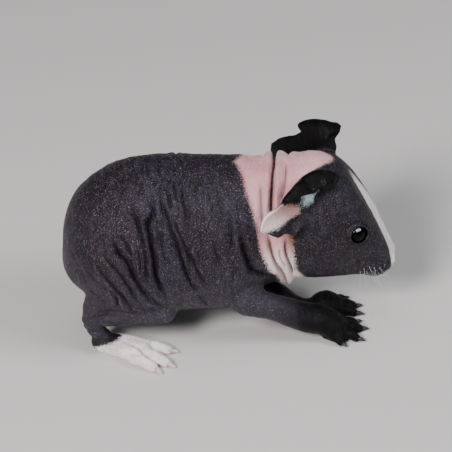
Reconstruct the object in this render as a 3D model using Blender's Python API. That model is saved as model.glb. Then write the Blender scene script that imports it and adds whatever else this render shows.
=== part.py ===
"""A skinny pig pup: a newborn hairless guinea pig standing with its back arched, its head bowed and its
forepaws set forward. Life size. +X is forward, +Y is the pup's left and +Z is up.

All sizes below are millimetres, and mesh_object turns them into metres. The body from rump to nose is one
loft through stations, parted into torso, neck and head by thin cuts. Ears, legs and feet are closed solids
cut clear of what they grow from."""

import math

import bmesh
import bpy
import numpy as np
from mathutils import Matrix, Vector

MM = 0.001
GAP = 0.3

# Stations of the body loft, rump to nose: top of the section (x, z), its underside (x, z), half width,
# height of the widest level as a share, squareness above and below that level.
STATIONS = [
    ((-52.4, 34.5), (-52.4, 34.5), 0.0, 0.50, 2.0, 2.0),
    ((-50.6, 43.6), (-51.0, 25.4), 9.0, 0.50, 2.0, 2.0),
    ((-46.4, 50.9), (-47.0, 18.6), 14.8, 0.49, 2.1, 2.1),
    ((-39.5, 56.3), (-40.8, 13.8), 19.4, 0.46, 2.1, 2.3),
    ((-31.0, 59.6), (-33.0, 11.8), 21.4, 0.44, 2.1, 2.4),
    ((-22.0, 60.3), (-24.0, 10.9), 21.9, 0.43, 2.1, 2.4),
    ((-13.0, 59.8), (-15.0, 10.6), 21.3, 0.43, 2.1, 2.4),
    ((-4.5, 58.9), (-6.0, 9.9), 20.3, 0.43, 2.1, 2.5),
    ((4.0, 57.8), (2.0, 9.8), 18.5, 0.44, 2.1, 2.4),
    ((12.0, 57.0), (8.5, 13.4), 15.6, 0.46, 2.1, 2.1),
    ((20.0, 57.6), (14.0, 15.6), 14.3, 0.44, 2.2, 2.1),
    ((27.5, 58.2), (19.7, 16.9), 14.9, 0.42, 2.3, 2.2),
    ((34.2, 56.4), (25.2, 17.5), 15.0, 0.42, 2.4, 2.3),
    ((38.8, 51.5), (30.2, 17.3), 14.1, 0.45, 2.7, 2.3),
    ((42.2, 45.6), (34.9, 16.8), 12.5, 0.48, 3.0, 2.3),
    ((45.1, 39.6), (39.2, 16.1), 10.8, 0.50, 3.1, 2.3),
    ((47.8, 33.4), (43.3, 15.6), 9.5, 0.46, 2.7, 2.3),
    ((50.2, 27.2), (46.8, 15.0), 8.3, 0.42, 2.4, 2.4),
    ((51.2, 22.5), (49.5, 15.7), 6.2, 0.44, 2.3, 2.3),
    ((51.0, 18.9), (51.0, 18.9), 0.0, 0.45, 2.2, 2.2),
]
RUMP_END = 0.0
NECK_AT = 8.45
HEAD_AT = 10.75
NOSE_END = len(STATIONS) - 1.0
RING_SIDES = 40
TORSO_RINGS = 44
NECK_RINGS = 11
HEAD_RINGS = 30

# Soft swellings of the body on both sides: centre (x, distance from the middle, z), radius, height.
SWELLINGS = [
    ((-35.0, 19.0, 25.0), 11.0, 2.2),
    ((3.0, 17.0, 26.0), 8.5, 1.8),
    ((8.0, 8.0, 55.0), 7.0, 0.8),
    ((28.0, 14.0, 24.0), 8.0, 0.7),
    ((47.0, 6.8, 20.0), 3.4, 0.5),
]

# Skin folds, as creases drawn on the side: points (x, angle round the body's axis line), depth, width.
AXIS_Z = 35.5
FOLD_RADIUS = 24.0
CREASES = [
    ([(-29.5, 54), (-27, 36), (-26.5, 18), (-26, -2), (-25.5, -18)], 0.6, 1.2),
    ([(-22.5, 58), (-23.5, 36), (-23.5, 15), (-23, -8), (-21, -32)], 0.8, 1.2),
    ([(-19.5, 64), (-18, 42), (-15.5, 6), (-12, -32)], 0.6, 1.4),
    ([(-12.5, 72), (-12.5, 52), (-11, 26)], 0.4, 1.3),
    ([(-36, 32), (-32, 6), (-28.5, -20), (-26, -40)], 0.6, 1.6),
    ([(-41.5, 4), (-36, -19), (-33, -40)], 0.5, 1.6),
    ([(3.5, 22), (4.5, -5), (6.5, -22), (12, -50)], 0.9, 1.3),
    ([(16, 120), (15, 69), (13.5, 36)], 1.0, 0.9),
    ([(12, 18), (13, -20), (16, -60)], 0.6, 1.4),
    ([(17.5, 10), (17.5, -16), (19, -55)], 0.6, 1.4),
]

# Each eye stands on the head's side at a station and an angle round it.
EYE_RADIUS = 3.1
EYE_AT = (14.2, 15.3)
EYE_STANDS_OUT = 1.1
LID_RADIUS = 2.95
LID_THICKNESS = 0.55
LID_STANDS_OUT = 0.1
NOSTRIL = (51.1, 1.7, 20.6)
LIP_GROOVE = 0.35

EAR_ROOT = (29.6, 11.3, 49.4)
EAR_ROOT_RADIUS = 2.6
EAR_SINK = 0.6
EAR_BEND_BACK = 16.0
EAR_CURL_FROM = 0.38
EAR_CURL_TO = 0.88
EAR_THICK_ROOT = 1.3
EAR_THICK_RIM = 0.8
# Round each ear's fan, from its front edge over the top and back to its low edge: angle, length, curl.
EAR_RAYS = {
    "right": [
        (150, 7.5, 50),
        (128, 10.5, 110),
        (105, 12.5, 150),
        (82, 13.5, 160),
        (60, 14.5, 160),
        (40, 14.0, 115),
        (20, 16.0, 40),
        (0, 22.5, 8),
        (-20, 18.5, 12),
        (-40, 12.0, 30),
        (-60, 9.0, 50),
        (-85, 7.0, 50),
    ],
    "left": [
        (150, 4.5, 25),
        (130, 9.5, 50),
        (118, 16.5, 85),
        (103, 19.0, 125),
        (86, 18.5, 140),
        (72, 17.5, 120),
        (60, 10.5, 60),
        (42, 8.5, 30),
        (25, 11.5, 20),
        (5, 16.5, 15),
        (-15, 17.5, 20),
        (-40, 13.5, 40),
        (-60, 10.5, 50),
        (-85, 8.0, 50),
    ],
}
EAR_RAY_COUNT = 23
EAR_STEPS = 9

# The head and neck are turned to the pup's right: angle, and where along x the turn begins and ends.
HEAD_TURN = 5.0
TURN_FROM = 8.0
TURN_TO = 26.0

ANKLE_Z = 6.4
HEEL = (-44.2, 10.0)
FOOT_YAW = 31.0
LEFT_HIND_SHIFT = 1.0
# Where each forepaw's wrist stands (x, distance from the middle), its yaw outwards, the wrist's height
# and radius, and the middle of the forearm. The left forearm lies low and crosses under the chest.
FOREPAWS = {
    "right": ((22.0, 14.2), 2.0, 8.2, 5.0, (12.0, 15.3, 13.0)),
    "left": ((22.0, -4.0), 20.0, 4.7, 3.95, (11.5, 5.0, 7.0)),
}
WRIST_LENGTH = 3.5
SOLE_SINK = 0.25


def clear_scene():
    for thing in list(bpy.data.objects):
        bpy.data.objects.remove(thing)


def make_material(name, colour, roughness):
    material = bpy.data.materials.new(name)
    material.use_nodes = True
    shader = material.node_tree.nodes["Principled BSDF"]
    shader.inputs["Base Color"].default_value = (*colour, 1.0)
    shader.inputs["Roughness"].default_value = roughness
    shader.inputs["Metallic"].default_value = 0.0
    return material


def mesh_object(name, points, faces, material=None):
    """A new object from points in millimetres, its faces turned outwards."""
    mesh = bpy.data.meshes.new(name)
    mesh.from_pydata([tuple(float(v) * MM for v in p) for p in points], [], faces)
    body = bmesh.new()
    body.from_mesh(mesh)
    bmesh.ops.recalc_face_normals(body, faces=body.faces)
    body.to_mesh(mesh)
    body.free()
    mesh.shade_smooth()
    thing = bpy.data.objects.new(name, mesh)
    bpy.context.scene.collection.objects.link(thing)
    if material:
        mesh.materials.append(material)
    return thing


def catmull_rom(rows, t):
    """The value at t of a smooth curve through the rows, whose first and last rows only steer its ends."""
    i = min(int(t), len(rows) - 4)
    f = t - i
    p0, p1, p2, p3 = rows[i : i + 4]
    return 0.5 * (
        2 * p1 + (p2 - p0) * f + (2 * p0 - 5 * p1 + 4 * p2 - p3) * f**2 + (3 * p1 - p0 - 3 * p2 + p3) * f**3
    )


def station_rows():
    """The stations as rows. Past each tip the next station comes again with its top and underside
    swapped, so that the skin closes round there."""
    rows = np.array([[*top, *low, *rest] for top, low, *rest in STATIONS])

    def swapped(row):
        return np.array([row[2], row[3], row[0], row[1], -row[4], *row[5:]])

    return np.vstack([swapped(rows[1]), rows, swapped(rows[-2])])


STATION_ROWS = station_rows()


def smooth_step(value, start, end):
    share = np.clip((value - start) / (end - start), 0.0, 1.0)
    return share * share * (3.0 - 2.0 * share)


def crease_relief(x, angle, creases):
    """How far folds lift or sink the skin at x and an angle round the body: a groove with a roll along
    each side of it, fading out at the crease's ends."""
    here = np.stack([x, np.radians(angle) * FOLD_RADIUS], axis=-1)
    relief = np.zeros(len(here))
    for path, depth, width in creases:
        line = np.array([(px, math.radians(pa) * FOLD_RADIUS) for px, pa in path])
        lengths = np.linalg.norm(np.diff(line, axis=0), axis=1)
        before = np.concatenate([[0.0], np.cumsum(lengths)])
        nearest = np.full(len(here), 1e9)
        along = np.zeros(len(here))
        for k, length in enumerate(lengths):
            share = np.clip((here - line[k]) @ (line[k + 1] - line[k]) / length**2, 0.0, 1.0)
            away = np.linalg.norm(here - line[k] - share[:, None] * (line[k + 1] - line[k]), axis=1)
            closer = away < nearest
            nearest = np.where(closer, away, nearest)
            along = np.where(closer, before[k] + share * length, along)
        whole = before[-1]
        fade = smooth_step(along, -0.05 * whole, 0.25 * whole)
        fade *= 1 - smooth_step(along, 0.75 * whole, 1.05 * whole)
        groove = np.exp(-((nearest / width) ** 2))
        roll = np.exp(-(((nearest - 2.0 * width) / width) ** 2))
        relief += depth * fade * (0.45 * roll - groove)
    return relief


def body_relief(points):
    """Swellings and folds at points of the body, in millimetres outwards."""
    x, y, z = points.T
    relief = np.zeros(len(points))
    for (cx, cy, cz), radius, height in SWELLINGS:
        away = (x - cx) ** 2 + (np.abs(y) - cy) ** 2 + (z - cz) ** 2
        relief += height * np.exp(-away / radius**2)
    angle = np.degrees(np.arctan2(z - AXIS_Z, np.abs(y)))
    right = y < 0
    left_creases = [
        ([(px + 1.0, pa * 0.92) for px, pa in path], depth, width) for path, depth, width in CREASES
    ]
    folds = np.where(right, crease_relief(x, angle, CREASES), crease_relief(x, angle, left_creases))
    return relief + folds


def section(t, angles):
    """Points of the body's skin at station t, and the section's middle. Angle 0 is the left side, and 90
    degrees the back."""
    top_x, top_z, low_x, low_z, wide, level, up, down = catmull_rom(STATION_ROWS, t)
    top, low = np.array([top_x, 0.0, top_z]), np.array([low_x, 0.0, low_z])
    middle = low + level * (top - low)
    points = []
    for angle in angles:
        c, s = math.cos(math.radians(angle)), math.sin(math.radians(angle))
        square = up if s >= 0 else down
        reach = top - middle if s >= 0 else middle - low
        side = math.copysign(abs(c) ** (2 / square), c) * wide
        points.append(middle + math.copysign(abs(s) ** (2 / square), s) * reach + np.array([0.0, side, 0.0]))
    points = np.array(points)
    outward = points - middle
    outward /= np.linalg.norm(outward, axis=1)[:, None]
    return points + outward * body_relief(points)[:, None], middle


def ring(t):
    return section(t, np.arange(RING_SIDES) * 360.0 / RING_SIDES)


def skin_place(t, angle):
    """A point of the skin and its outward direction."""
    (here, around), middle = section(t, (angle, angle + 4.0))
    ahead = section(t + 0.1, (angle,))[0][0]
    outward = unit(np.cross(around - here, ahead - here))
    return here, outward if outward @ (here - middle) > 0 else -outward


def section_normal(t):
    top_x, top_z, low_x, low_z = catmull_rom(STATION_ROWS, t)[:4]
    normal = np.array([top_z - low_z, 0.0, low_x - top_x])
    return normal / np.linalg.norm(normal)


def body_length(name, start, end, rings, material):
    """A closed length of the body from station start to end. Each end is the rump or nose tip, or a flat
    cut that stands back half the gap. The triangles slope down and forwards on both sides, as the folds
    do."""
    points, rows = [], []

    def add(new_points):
        rows.append(list(range(len(points), len(points) + len(new_points))))
        points.extend(new_points)

    if start == RUMP_END:
        add([ring(1e-3)[0].mean(axis=0)])
    else:
        at, middle = ring(start)
        push = section_normal(start) * GAP / 2
        add([middle + push])
        add(at + push)
    for k in range(1, rings):
        add(ring(start + (end - start) * k / rings)[0])
    if end == NOSE_END:
        add([ring(end - 1e-3)[0].mean(axis=0)])
    else:
        at, middle = ring(end)
        push = section_normal(end) * -GAP / 2
        add(at + push)
        add([middle + push])
    faces = []
    for here, there in zip(rows, rows[1:]):
        count = max(len(here), len(there))
        for k in range(count):
            after = (k + 1) % count
            if len(here) == 1:
                faces.append((here[0], there[k], there[after]))
            elif len(there) == 1:
                faces.append((here[k], there[0], here[after]))
            elif RING_SIDES / 4 <= k < RING_SIDES * 3 / 4:
                faces += [(here[k], there[k], there[after]), (here[k], there[after], here[after])]
            else:
                faces += [(here[k], there[k], here[after]), (there[k], there[after], here[after])]
    return mesh_object(name, points, faces, material)


def tube(path, radii, sides=10, steps=6):
    """A round-ended tube in millimetres through a path of points, as points and faces. radii are (across,
    upright) pairs at those points."""
    rows = np.array([[*p, *r] for p, r in zip(path, radii)], float)
    rows = np.vstack([2 * rows[0] - rows[1], rows, 2 * rows[-1] - rows[-2]])
    last = len(path) - 1.0
    stops = [(catmull_rom(rows, last * k / steps), last * k / steps) for k in range(steps + 1)]

    def direction(t):
        ahead = catmull_rom(rows, min(t + 0.01, last))[:3] - catmull_rom(rows, max(t - 0.01, 0.0))[:3]
        return ahead / np.linalg.norm(ahead)

    rings = []
    cap = (math.radians(30), math.radians(62)) if sides > 8 else (math.radians(45),)
    first_row, end_row = stops[0][0], stops[-1][0]
    for turn in reversed(cap):
        rings.append((first_row[:3] - direction(0.0) * first_row[3:].min() * math.sin(turn),
                      first_row[3:] * math.cos(turn), direction(0.0)))
    for row, t in stops:
        rings.append((row[:3], row[3:], direction(t)))
    for turn in cap:
        rings.append((end_row[:3] + direction(last) * end_row[3:].min() * math.sin(turn),
                      end_row[3:] * math.cos(turn), direction(last)))
    points = [first_row[:3] - direction(0.0) * first_row[3:].min()]
    side = np.cross((0.0, 0.0, 1.0), direction(0.0))
    if np.linalg.norm(side) < 0.5:
        side = np.array([0.0, 1.0, 0.0])
    for centre, (across, upright), ahead in rings:
        side = unit(side - (side @ ahead) * ahead)
        above = np.cross(ahead, side)
        for k in range(sides):
            angle = 2 * math.pi * k / sides
            points.append(centre + side * across * math.cos(angle) + above * upright * math.sin(angle))
    points.append(end_row[:3] + direction(last) * end_row[3:].min())
    faces = []
    for k in range(sides):
        after = (k + 1) % sides
        faces.append((0, 1 + after, 1 + k))
        for r in range(len(rings) - 1):
            base = 1 + r * sides
            faces.append((base + k, base + after, base + sides + after, base + sides + k))
        base = 1 + (len(rings) - 1) * sides
        faces.append((base + k, base + after, len(points) - 1))
    return points, faces


def apply_boolean(thing, operation, other=None, collection=None, solver="EXACT"):
    modifier = thing.modifiers.new("join or cut", "BOOLEAN")
    modifier.operation = operation
    modifier.solver = solver
    if collection:
        modifier.operand_type = "COLLECTION"
        modifier.collection = collection
    else:
        modifier.object = other
    bpy.context.view_layer.update()
    shaped = bpy.data.meshes.new_from_object(thing.evaluated_get(bpy.context.evaluated_depsgraph_get()))
    thing.modifiers.remove(modifier)
    thing.data = shaped


def keep_largest(thing):
    """Leaves only the largest closed surface of an object."""
    body = bmesh.new()
    body.from_mesh(thing.data)
    unseen = set(body.faces)
    shells = []
    while unseen:
        shell, edge = set(), {unseen.pop()}
        while edge:
            face = edge.pop()
            shell.add(face)
            for e in face.edges:
                for near in e.link_faces:
                    if near in unseen:
                        unseen.discard(near)
                        edge.add(near)
        shells.append(shell)
    largest = max(shells, key=lambda shell: sum(f.calc_area() for f in shell))
    loose = [f for shell in shells if shell is not largest for f in shell]
    bmesh.ops.delete(body, geom=loose, context="FACES")
    body.to_mesh(thing.data)
    body.free()


def fuse(name, meshes, material):
    """One closed object from overlapping closed meshes."""
    first = mesh_object(name, *meshes[0], material)
    pieces = bpy.data.collections.new(name + " pieces")
    bpy.context.scene.collection.children.link(pieces)
    for k, mesh in enumerate(meshes[1:]):
        piece = mesh_object(f"{name} piece {k}", *mesh)
        bpy.context.scene.collection.objects.unlink(piece)
        pieces.objects.link(piece)
    apply_boolean(first, "UNION", collection=pieces, solver="MANIFOLD")
    for piece in list(pieces.objects):
        bpy.data.objects.remove(piece)
    bpy.data.collections.remove(pieces)
    keep_largest(first)
    return first


def cut_box(thing, low, high):
    (ax, ay, az), (bx, by, bz) = low, high
    corners = [(x, y, z) for x in (ax, bx) for y in (ay, by) for z in (az, bz)]
    faces = [(0, 1, 3, 2), (4, 6, 7, 5), (0, 4, 5, 1), (2, 3, 7, 6), (0, 2, 6, 4), (1, 5, 7, 3)]
    box = mesh_object("box cutter", corners, faces)
    apply_boolean(thing, "DIFFERENCE", box, solver="MANIFOLD")
    bpy.data.objects.remove(box)
    keep_largest(thing)


def cut_clear(thing, *others):
    """Cuts thing back to the gap from each of the others."""
    for other in others:
        grown = other.copy()
        grown.data = other.data.copy()
        bpy.context.scene.collection.objects.link(grown)
        normals = [v.normal.copy() for v in grown.data.vertices]
        for vertex, normal in zip(grown.data.vertices, normals):
            vertex.co += normal * GAP * MM
        apply_boolean(thing, "DIFFERENCE", grown, solver="MANIFOLD")
        bpy.data.objects.remove(grown)
        keep_largest(thing)


def mirrored(mesh, side):
    """A mesh drawn for the left side, or turned over for the right."""
    points, faces = mesh
    return [np.array(p) * (1.0, side, 1.0) for p in points], faces


def unit(vector):
    vector = np.array(vector, float)
    return vector / np.linalg.norm(vector)


def ball(centre, radius, segments=14, rows=9):
    points = [np.array(centre) + (0.0, 0.0, radius)]
    for r in range(1, rows):
        level = math.pi * r / rows
        for k in range(segments):
            turn = 2 * math.pi * k / segments
            points.append(np.array(centre) + radius * np.array(
                [math.sin(level) * math.cos(turn), math.sin(level) * math.sin(turn), math.cos(level)]))
    points.append(np.array(centre) - (0.0, 0.0, radius))
    faces = []
    for k in range(segments):
        after = (k + 1) % segments
        faces.append((0, 1 + k, 1 + after))
        for r in range(rows - 2):
            base = 1 + r * segments
            faces.append((base + k, base + segments + k, base + segments + after, base + after))
        base = 1 + (rows - 2) * segments
        faces.append((base + k, len(points) - 1, base + after))
    return points, faces


def eye_ball(side, radius):
    here, outward = skin_place(*EYE_AT)
    return mirrored(ball(here - outward * (EYE_RADIUS - EYE_STANDS_OUT), radius), side)


def lid_ring(side):
    """The two lids as one ring of flesh round the eye, a little longer along the head than across it."""
    here, axis = skin_place(*EYE_AT)
    along = unit(np.cross((0.0, 0.0, 1.0), axis))
    above = np.cross(axis, along)
    centre = here + axis * LID_STANDS_OUT
    around, about = 18, 6
    points = []
    for k in range(around):
        turn = 2 * math.pi * k / around
        spoke = along * math.cos(turn) * 1.08 + above * math.sin(turn) * 0.96
        for j in range(about):
            bend = 2 * math.pi * j / about
            points.append(centre + spoke * (LID_RADIUS + LID_THICKNESS * math.cos(bend))
                          + axis * LID_THICKNESS * math.sin(bend))
    faces = [
        (k * about + j, ((k + 1) % around) * about + j,
         ((k + 1) % around) * about + (j + 1) % about, k * about + (j + 1) % about)
        for k in range(around) for j in range(about)
    ]
    return mirrored((points, faces), side)


def mouth_paths():
    """The lips' line from the right corner round under the nose to the left, and the groove up to the
    nose from its middle. Each place is a station and an angle."""
    left = [skin_place(t, angle)[0] for t, angle in ((17.0, -44), (17.5, -48), (18.05, -55), (18.45, -70))]
    right = [p * (1.0, -1.0, 1.0) for p in left]
    front = skin_place(18.6, -90)[0]
    groove = [front, skin_place(18.8, -90)[0], skin_place(18.8, 90)[0]]
    return [*right, front, *reversed(left)], groove


def make_head(material):
    head = body_length("head", HEAD_AT, NOSE_END, HEAD_RINGS, material)
    for side in (-1, 1):
        lids = mesh_object("lids", *lid_ring(side))
        apply_boolean(head, "UNION", lids, solver="MANIFOLD")
        bpy.data.objects.remove(lids)
        socket = mesh_object("socket", *eye_ball(side, EYE_RADIUS + GAP))
        apply_boolean(head, "DIFFERENCE", socket, solver="MANIFOLD")
        bpy.data.objects.remove(socket)
        x, y, z = NOSTRIL
        slit = [(x - 0.6, side * (y + 1.3), z + 0.5), (x, side * y, z), (x, side * (y - 0.9), z - 0.8)]
        widths = [(0.35, 0.35), (0.6, 0.6), (0.35, 0.35)]
        nostril = mesh_object("nostril", *tube(slit, widths, sides=6, steps=4))
        apply_boolean(head, "DIFFERENCE", nostril, solver="MANIFOLD")
        bpy.data.objects.remove(nostril)
    for line in mouth_paths():
        widths = [(LIP_GROOVE, LIP_GROOVE)] * len(line)
        groove = mesh_object("groove", *tube(line, widths, sides=6, steps=12))
        apply_boolean(head, "DIFFERENCE", groove, solver="MANIFOLD")
        bpy.data.objects.remove(groove)
    keep_largest(head)
    return head


def ear_mesh(word, side):
    """A cupped ear: a fan of rays from its root, each bent back at the root and curled over at the rim."""
    back = unit((-0.783, 0.621, -0.04))
    up = unit((-0.09, 0.145, 0.985))
    front = np.cross(back, up)
    angles, lengths, curls = np.array(EAR_RAYS[word]).T
    order = np.argsort(angles)
    middle_rows, along = [], np.linspace(0.0, 1.0, EAR_STEPS + 1)
    for k in range(EAR_RAY_COUNT + 1):
        share = k / EAR_RAY_COUNT
        angle = angles[0] + (angles[-1] - angles[0]) * share
        length = np.interp(angle, angles[order], lengths[order])
        curl = np.interp(angle, angles[order], curls[order])
        spoke = back * math.cos(math.radians(angle)) + up * math.sin(math.radians(angle))
        here = np.array(EAR_ROOT) + spoke * EAR_ROOT_RADIUS - front * EAR_SINK
        row = [here]
        for a, b in zip(along, along[1:]):
            at = (a + b) / 2
            curled = curl * smooth_step(at, EAR_CURL_FROM, EAR_CURL_TO)
            turn = math.radians(curled - EAR_BEND_BACK * (1 - smooth_step(at, 0.0, 0.5)))
            here = here + (spoke * math.cos(turn) + front * math.sin(turn)) * length * (b - a)
            row.append(here)
        middle_rows.append(row)
    middles = np.array(middle_rows)
    across = np.gradient(middles, axis=0)
    outward = np.gradient(middles, axis=1)
    normals = np.cross(outward, across)
    normals /= np.linalg.norm(normals, axis=2)[:, :, None]
    half = (EAR_THICK_ROOT + (EAR_THICK_RIM - EAR_THICK_ROOT) * along)[None, :, None] / 2
    shells = [(middles + normals * half).reshape(-1, 3), (middles - normals * half).reshape(-1, 3)]
    points = np.concatenate(shells)
    wide, count = EAR_STEPS + 1, (EAR_RAY_COUNT + 1) * (EAR_STEPS + 1)
    faces = []
    for i in range(EAR_RAY_COUNT):
        for j in range(EAR_STEPS):
            a, b, c, d = i * wide + j, i * wide + j + 1, (i + 1) * wide + j + 1, (i + 1) * wide + j
            faces += [(a, b, c), (a, c, d)]
            faces += [(count + a, count + c, count + b), (count + a, count + d, count + c)]
    rim = [(i * wide, (i + 1) * wide) for i in range(EAR_RAY_COUNT)]
    rim += [(EAR_RAY_COUNT * wide + j, EAR_RAY_COUNT * wide + j + 1) for j in range(EAR_STEPS)]
    rim += [((i + 1) * wide + EAR_STEPS, i * wide + EAR_STEPS) for i in range(EAR_RAY_COUNT)]
    rim += [(j + 1, j) for j in range(EAR_STEPS)]
    for a, b in rim:
        faces += [(a, b, count + b), (a, count + b, count + a)]
    return mirrored((list(points), faces), side)


def place_foot(mesh, heel, yaw, side):
    """A foot drawn pointing along +X from its heel, set down and turned outwards."""
    turn = Matrix.Rotation(math.radians(yaw), 3, "Z")
    points, faces = mesh
    placed = [np.array(turn @ Vector([float(v) for v in p])) + (heel[0], heel[1], 0.0) for p in points]
    return mirrored((placed, faces), side)


def toe_and_claw(base, tip, claw_tip, radius):
    """A toe bent at its middle joint, and its claw."""
    base, tip, claw_tip = (np.array(p, float) for p in (base, tip, claw_tip))
    knuckle = (base + tip) / 2 + (0.0, 0.0, 0.55)
    widths = [(radius, radius), (radius * 0.95, radius), (radius * 0.8, radius * 0.8)]
    toe = tube([base, knuckle, tip], widths, sides=8, steps=4)
    bend = (tip + claw_tip) / 2 + (0.0, 0.0, 0.35)
    claw = tube([tip, bend, claw_tip], [(0.62, 0.7), (0.5, 0.6), (0.25, 0.25)], sides=5, steps=3)
    return [toe, claw]


def turn_head(thing):
    """Bends what it is given round to the pup's right, more and more between two places along x."""
    for vertex in thing.data.vertices:
        x, y, z = vertex.co / MM
        turn = -math.radians(HEAD_TURN) * float(smooth_step(x, TURN_FROM, TURN_TO))
        reach = x - TURN_FROM
        vertex.co.x = MM * (TURN_FROM + reach * math.cos(turn) - y * math.sin(turn))
        vertex.co.y = MM * (reach * math.sin(turn) + y * math.cos(turn))


def make_hind_foot(name, side, shift, material):
    heel_x, heel_y = HEEL
    sole = -SOLE_SINK
    parts = [
        tube([(0.8, 0, 3.2 + sole), (8, 0, 3.3 + sole), (15.5, -0.3, 2.9 + sole)],
             [(3.3, 3.2), (4.2, 3.3), (5.2, 2.9)], sides=12, steps=5),
        tube([(2.2, 0, 3.2), (-0.9, 0, 10.0)], [(3.1, 3.1), (3.2, 3.4)], sides=12, steps=3),
    ]
    for base, tip, claw_tip in (
        ((14.0, -3.4, 2.4 + sole), (21.8, -5.6, 1.6 + sole), (24.9, -6.9, 0.75)),
        ((15.0, 0.1, 2.4 + sole), (24.6, 0.7, 1.65 + sole), (28.2, 0.9, 0.75)),
        ((14.4, 3.3, 2.4 + sole), (22.6, 4.7, 1.6 + sole), (26.0, 5.6, 0.75)),
    ):
        parts += toe_and_claw(base, tip, claw_tip, 1.95)
    foot = fuse(name, [place_foot(p, (heel_x + shift, heel_y), FOOT_YAW, side) for p in parts], material)
    cut_box(foot, (-80, -60, -5), (20, 60, 0.0))
    cut_box(foot, (-80, -60, ANKLE_Z - GAP / 2), (20, 60, 40))
    return foot


def make_hind_leg(name, side, shift, material, body):
    x, y = HEEL[0] + shift, HEEL[1]
    column = [(x + 2.0, y + 0.9, 3.0), (x - 1.2, y + 1.2, 12.5), (x + 4.5, y + 3.5, 24.0)]
    shin = [(x, y + 1.2, 13.2), (x + 11.0, y + 3.5, 14.0), (x + 22.0, y + 5.5, 15.0)]
    parts = [
        tube(column, [(3.1, 3.2), (3.3, 3.6), (5.0, 6.0)], sides=12, steps=6),
        tube(shin, [(3.2, 3.4), (3.8, 3.9), (4.0, 3.9)], sides=12, steps=5),
    ]
    leg = fuse(name, [mirrored(p, side) for p in parts], material)
    cut_box(leg, (-80, -60, -5), (20, 60, ANKLE_Z + GAP / 2))
    cut_clear(leg, body)
    return leg


def wrist_cutter(wrist, yaw, side, before):
    """A box that fills all before the wrist's cut, or all past it, and stands back half the gap."""
    edge = WRIST_LENGTH + (GAP / 2 if before else -GAP / 2)
    far = edge - 30 if before else edge + 40
    low, high = min(edge, far), max(edge, far)
    corners = [(x, y, z) for x in (low, high) for y in (-30, 30) for z in (-5, 40)]
    faces = [(0, 1, 3, 2), (4, 6, 7, 5), (0, 4, 5, 1), (2, 3, 7, 6), (0, 2, 6, 4), (1, 5, 7, 3)]
    return mesh_object("wrist cutter", *place_foot((corners, faces), wrist, yaw, side))


def cut_wrist(thing, *place):
    cutter = wrist_cutter(*place)
    apply_boolean(thing, "DIFFERENCE", cutter, solver="MANIFOLD")
    bpy.data.objects.remove(cutter)
    keep_largest(thing)


def make_foreleg(name, word, side, material, *bodies):
    wrist, yaw, height, thick, middle = FOREPAWS[word]
    wx, wy = wrist
    ahead, aside = math.cos(math.radians(yaw)), math.sin(math.radians(yaw))
    upper = [(2.5, 5.0, 30.0), (3.0, 11.5, 23.5), (3.4, 15.2, 16.5)]
    fore = [(3.2, 15.2, 16.0), middle, (wx - 2 * ahead, wy - 2 * aside, height),
            (wx + 5 * ahead, wy + 5 * aside, 0.75 * height)]
    parts = [
        tube(upper, [(5.0, 5.0), (6.0, 5.6), (5.6, 5.2)], sides=14, steps=5),
        tube(fore, [(4.8, 4.8), (4.4, 4.4), (thick, thick), (thick, thick)], sides=14, steps=7),
    ]
    leg = fuse(name, [mirrored(p, side) for p in parts], material)
    cut_wrist(leg, wrist, yaw, side, False)
    cut_clear(leg, *bodies)
    return leg


def make_forepaw(name, word, side, material):
    wrist, yaw, height, thick, _ = FOREPAWS[word]
    sole = -SOLE_SINK
    palm = min(4.6, 0.9 * height)
    parts = [
        tube([(0.0, 0.0, 0.93 * height), (3.5, 0.0, 0.8 * height), (7.5, 0.0, palm), (10.5, 0.0, 3.0 + sole)],
             [(thick, thick), (thick, thick), (5.2, palm - 0.3), (5.4, 3.0)], sides=14, steps=7),
        tube([(6.0, 0.0, 2.6 + sole), (10.0, 0.0, 2.4 + sole)], [(4.0, 2.6), (4.6, 2.4)], sides=10, steps=2),
    ]
    for base, tip, claw_tip in (
        ((7.5, 3.2, 2.3 + sole), (10.0, 5.6, 1.5 + sole), (11.6, 7.6, 0.75)),
        ((11.0, 2.2, 2.6 + sole), (14.9, 3.9, 1.5 + sole), (17.4, 4.9, 0.75)),
        ((12.0, -0.6, 2.8 + sole), (16.2, -1.4, 1.5 + sole), (19.0, -1.7, 0.75)),
        ((10.5, -3.0, 2.6 + sole), (14.6, -5.2, 1.5 + sole), (17.2, -6.6, 0.75)),
    ):
        parts += toe_and_claw(base, tip, claw_tip, 1.75)
    paw = fuse(name, [place_foot(p, wrist, yaw, side) for p in parts], material)
    cut_box(paw, (-20, -60, -5), (80, 60, 0.0))
    cut_wrist(paw, wrist, yaw, side, True)
    return paw


def stand_on_origin():
    """Hangs every part on one empty and moves it so that the box's bottom centre is the origin."""
    parts = [o for o in bpy.data.objects if o.type == "MESH"]
    corners = np.array([v.co for o in parts for v in o.data.vertices])
    low, high = corners.min(axis=0), corners.max(axis=0)
    pup = bpy.data.objects.new("pup", None)
    bpy.context.scene.collection.objects.link(pup)
    for part in parts:
        part.parent = pup
    pup.location = (-(low[0] + high[0]) / 2, -(low[1] + high[1]) / 2, -low[2])


clear_scene()
dark_skin = make_material("dark skin", (0.030, 0.027, 0.030), 0.62)
pink_skin = make_material("pink skin", (0.62, 0.38, 0.34), 0.60)
eye_black = make_material("eye", (0.008, 0.006, 0.006), 0.08)

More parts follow.
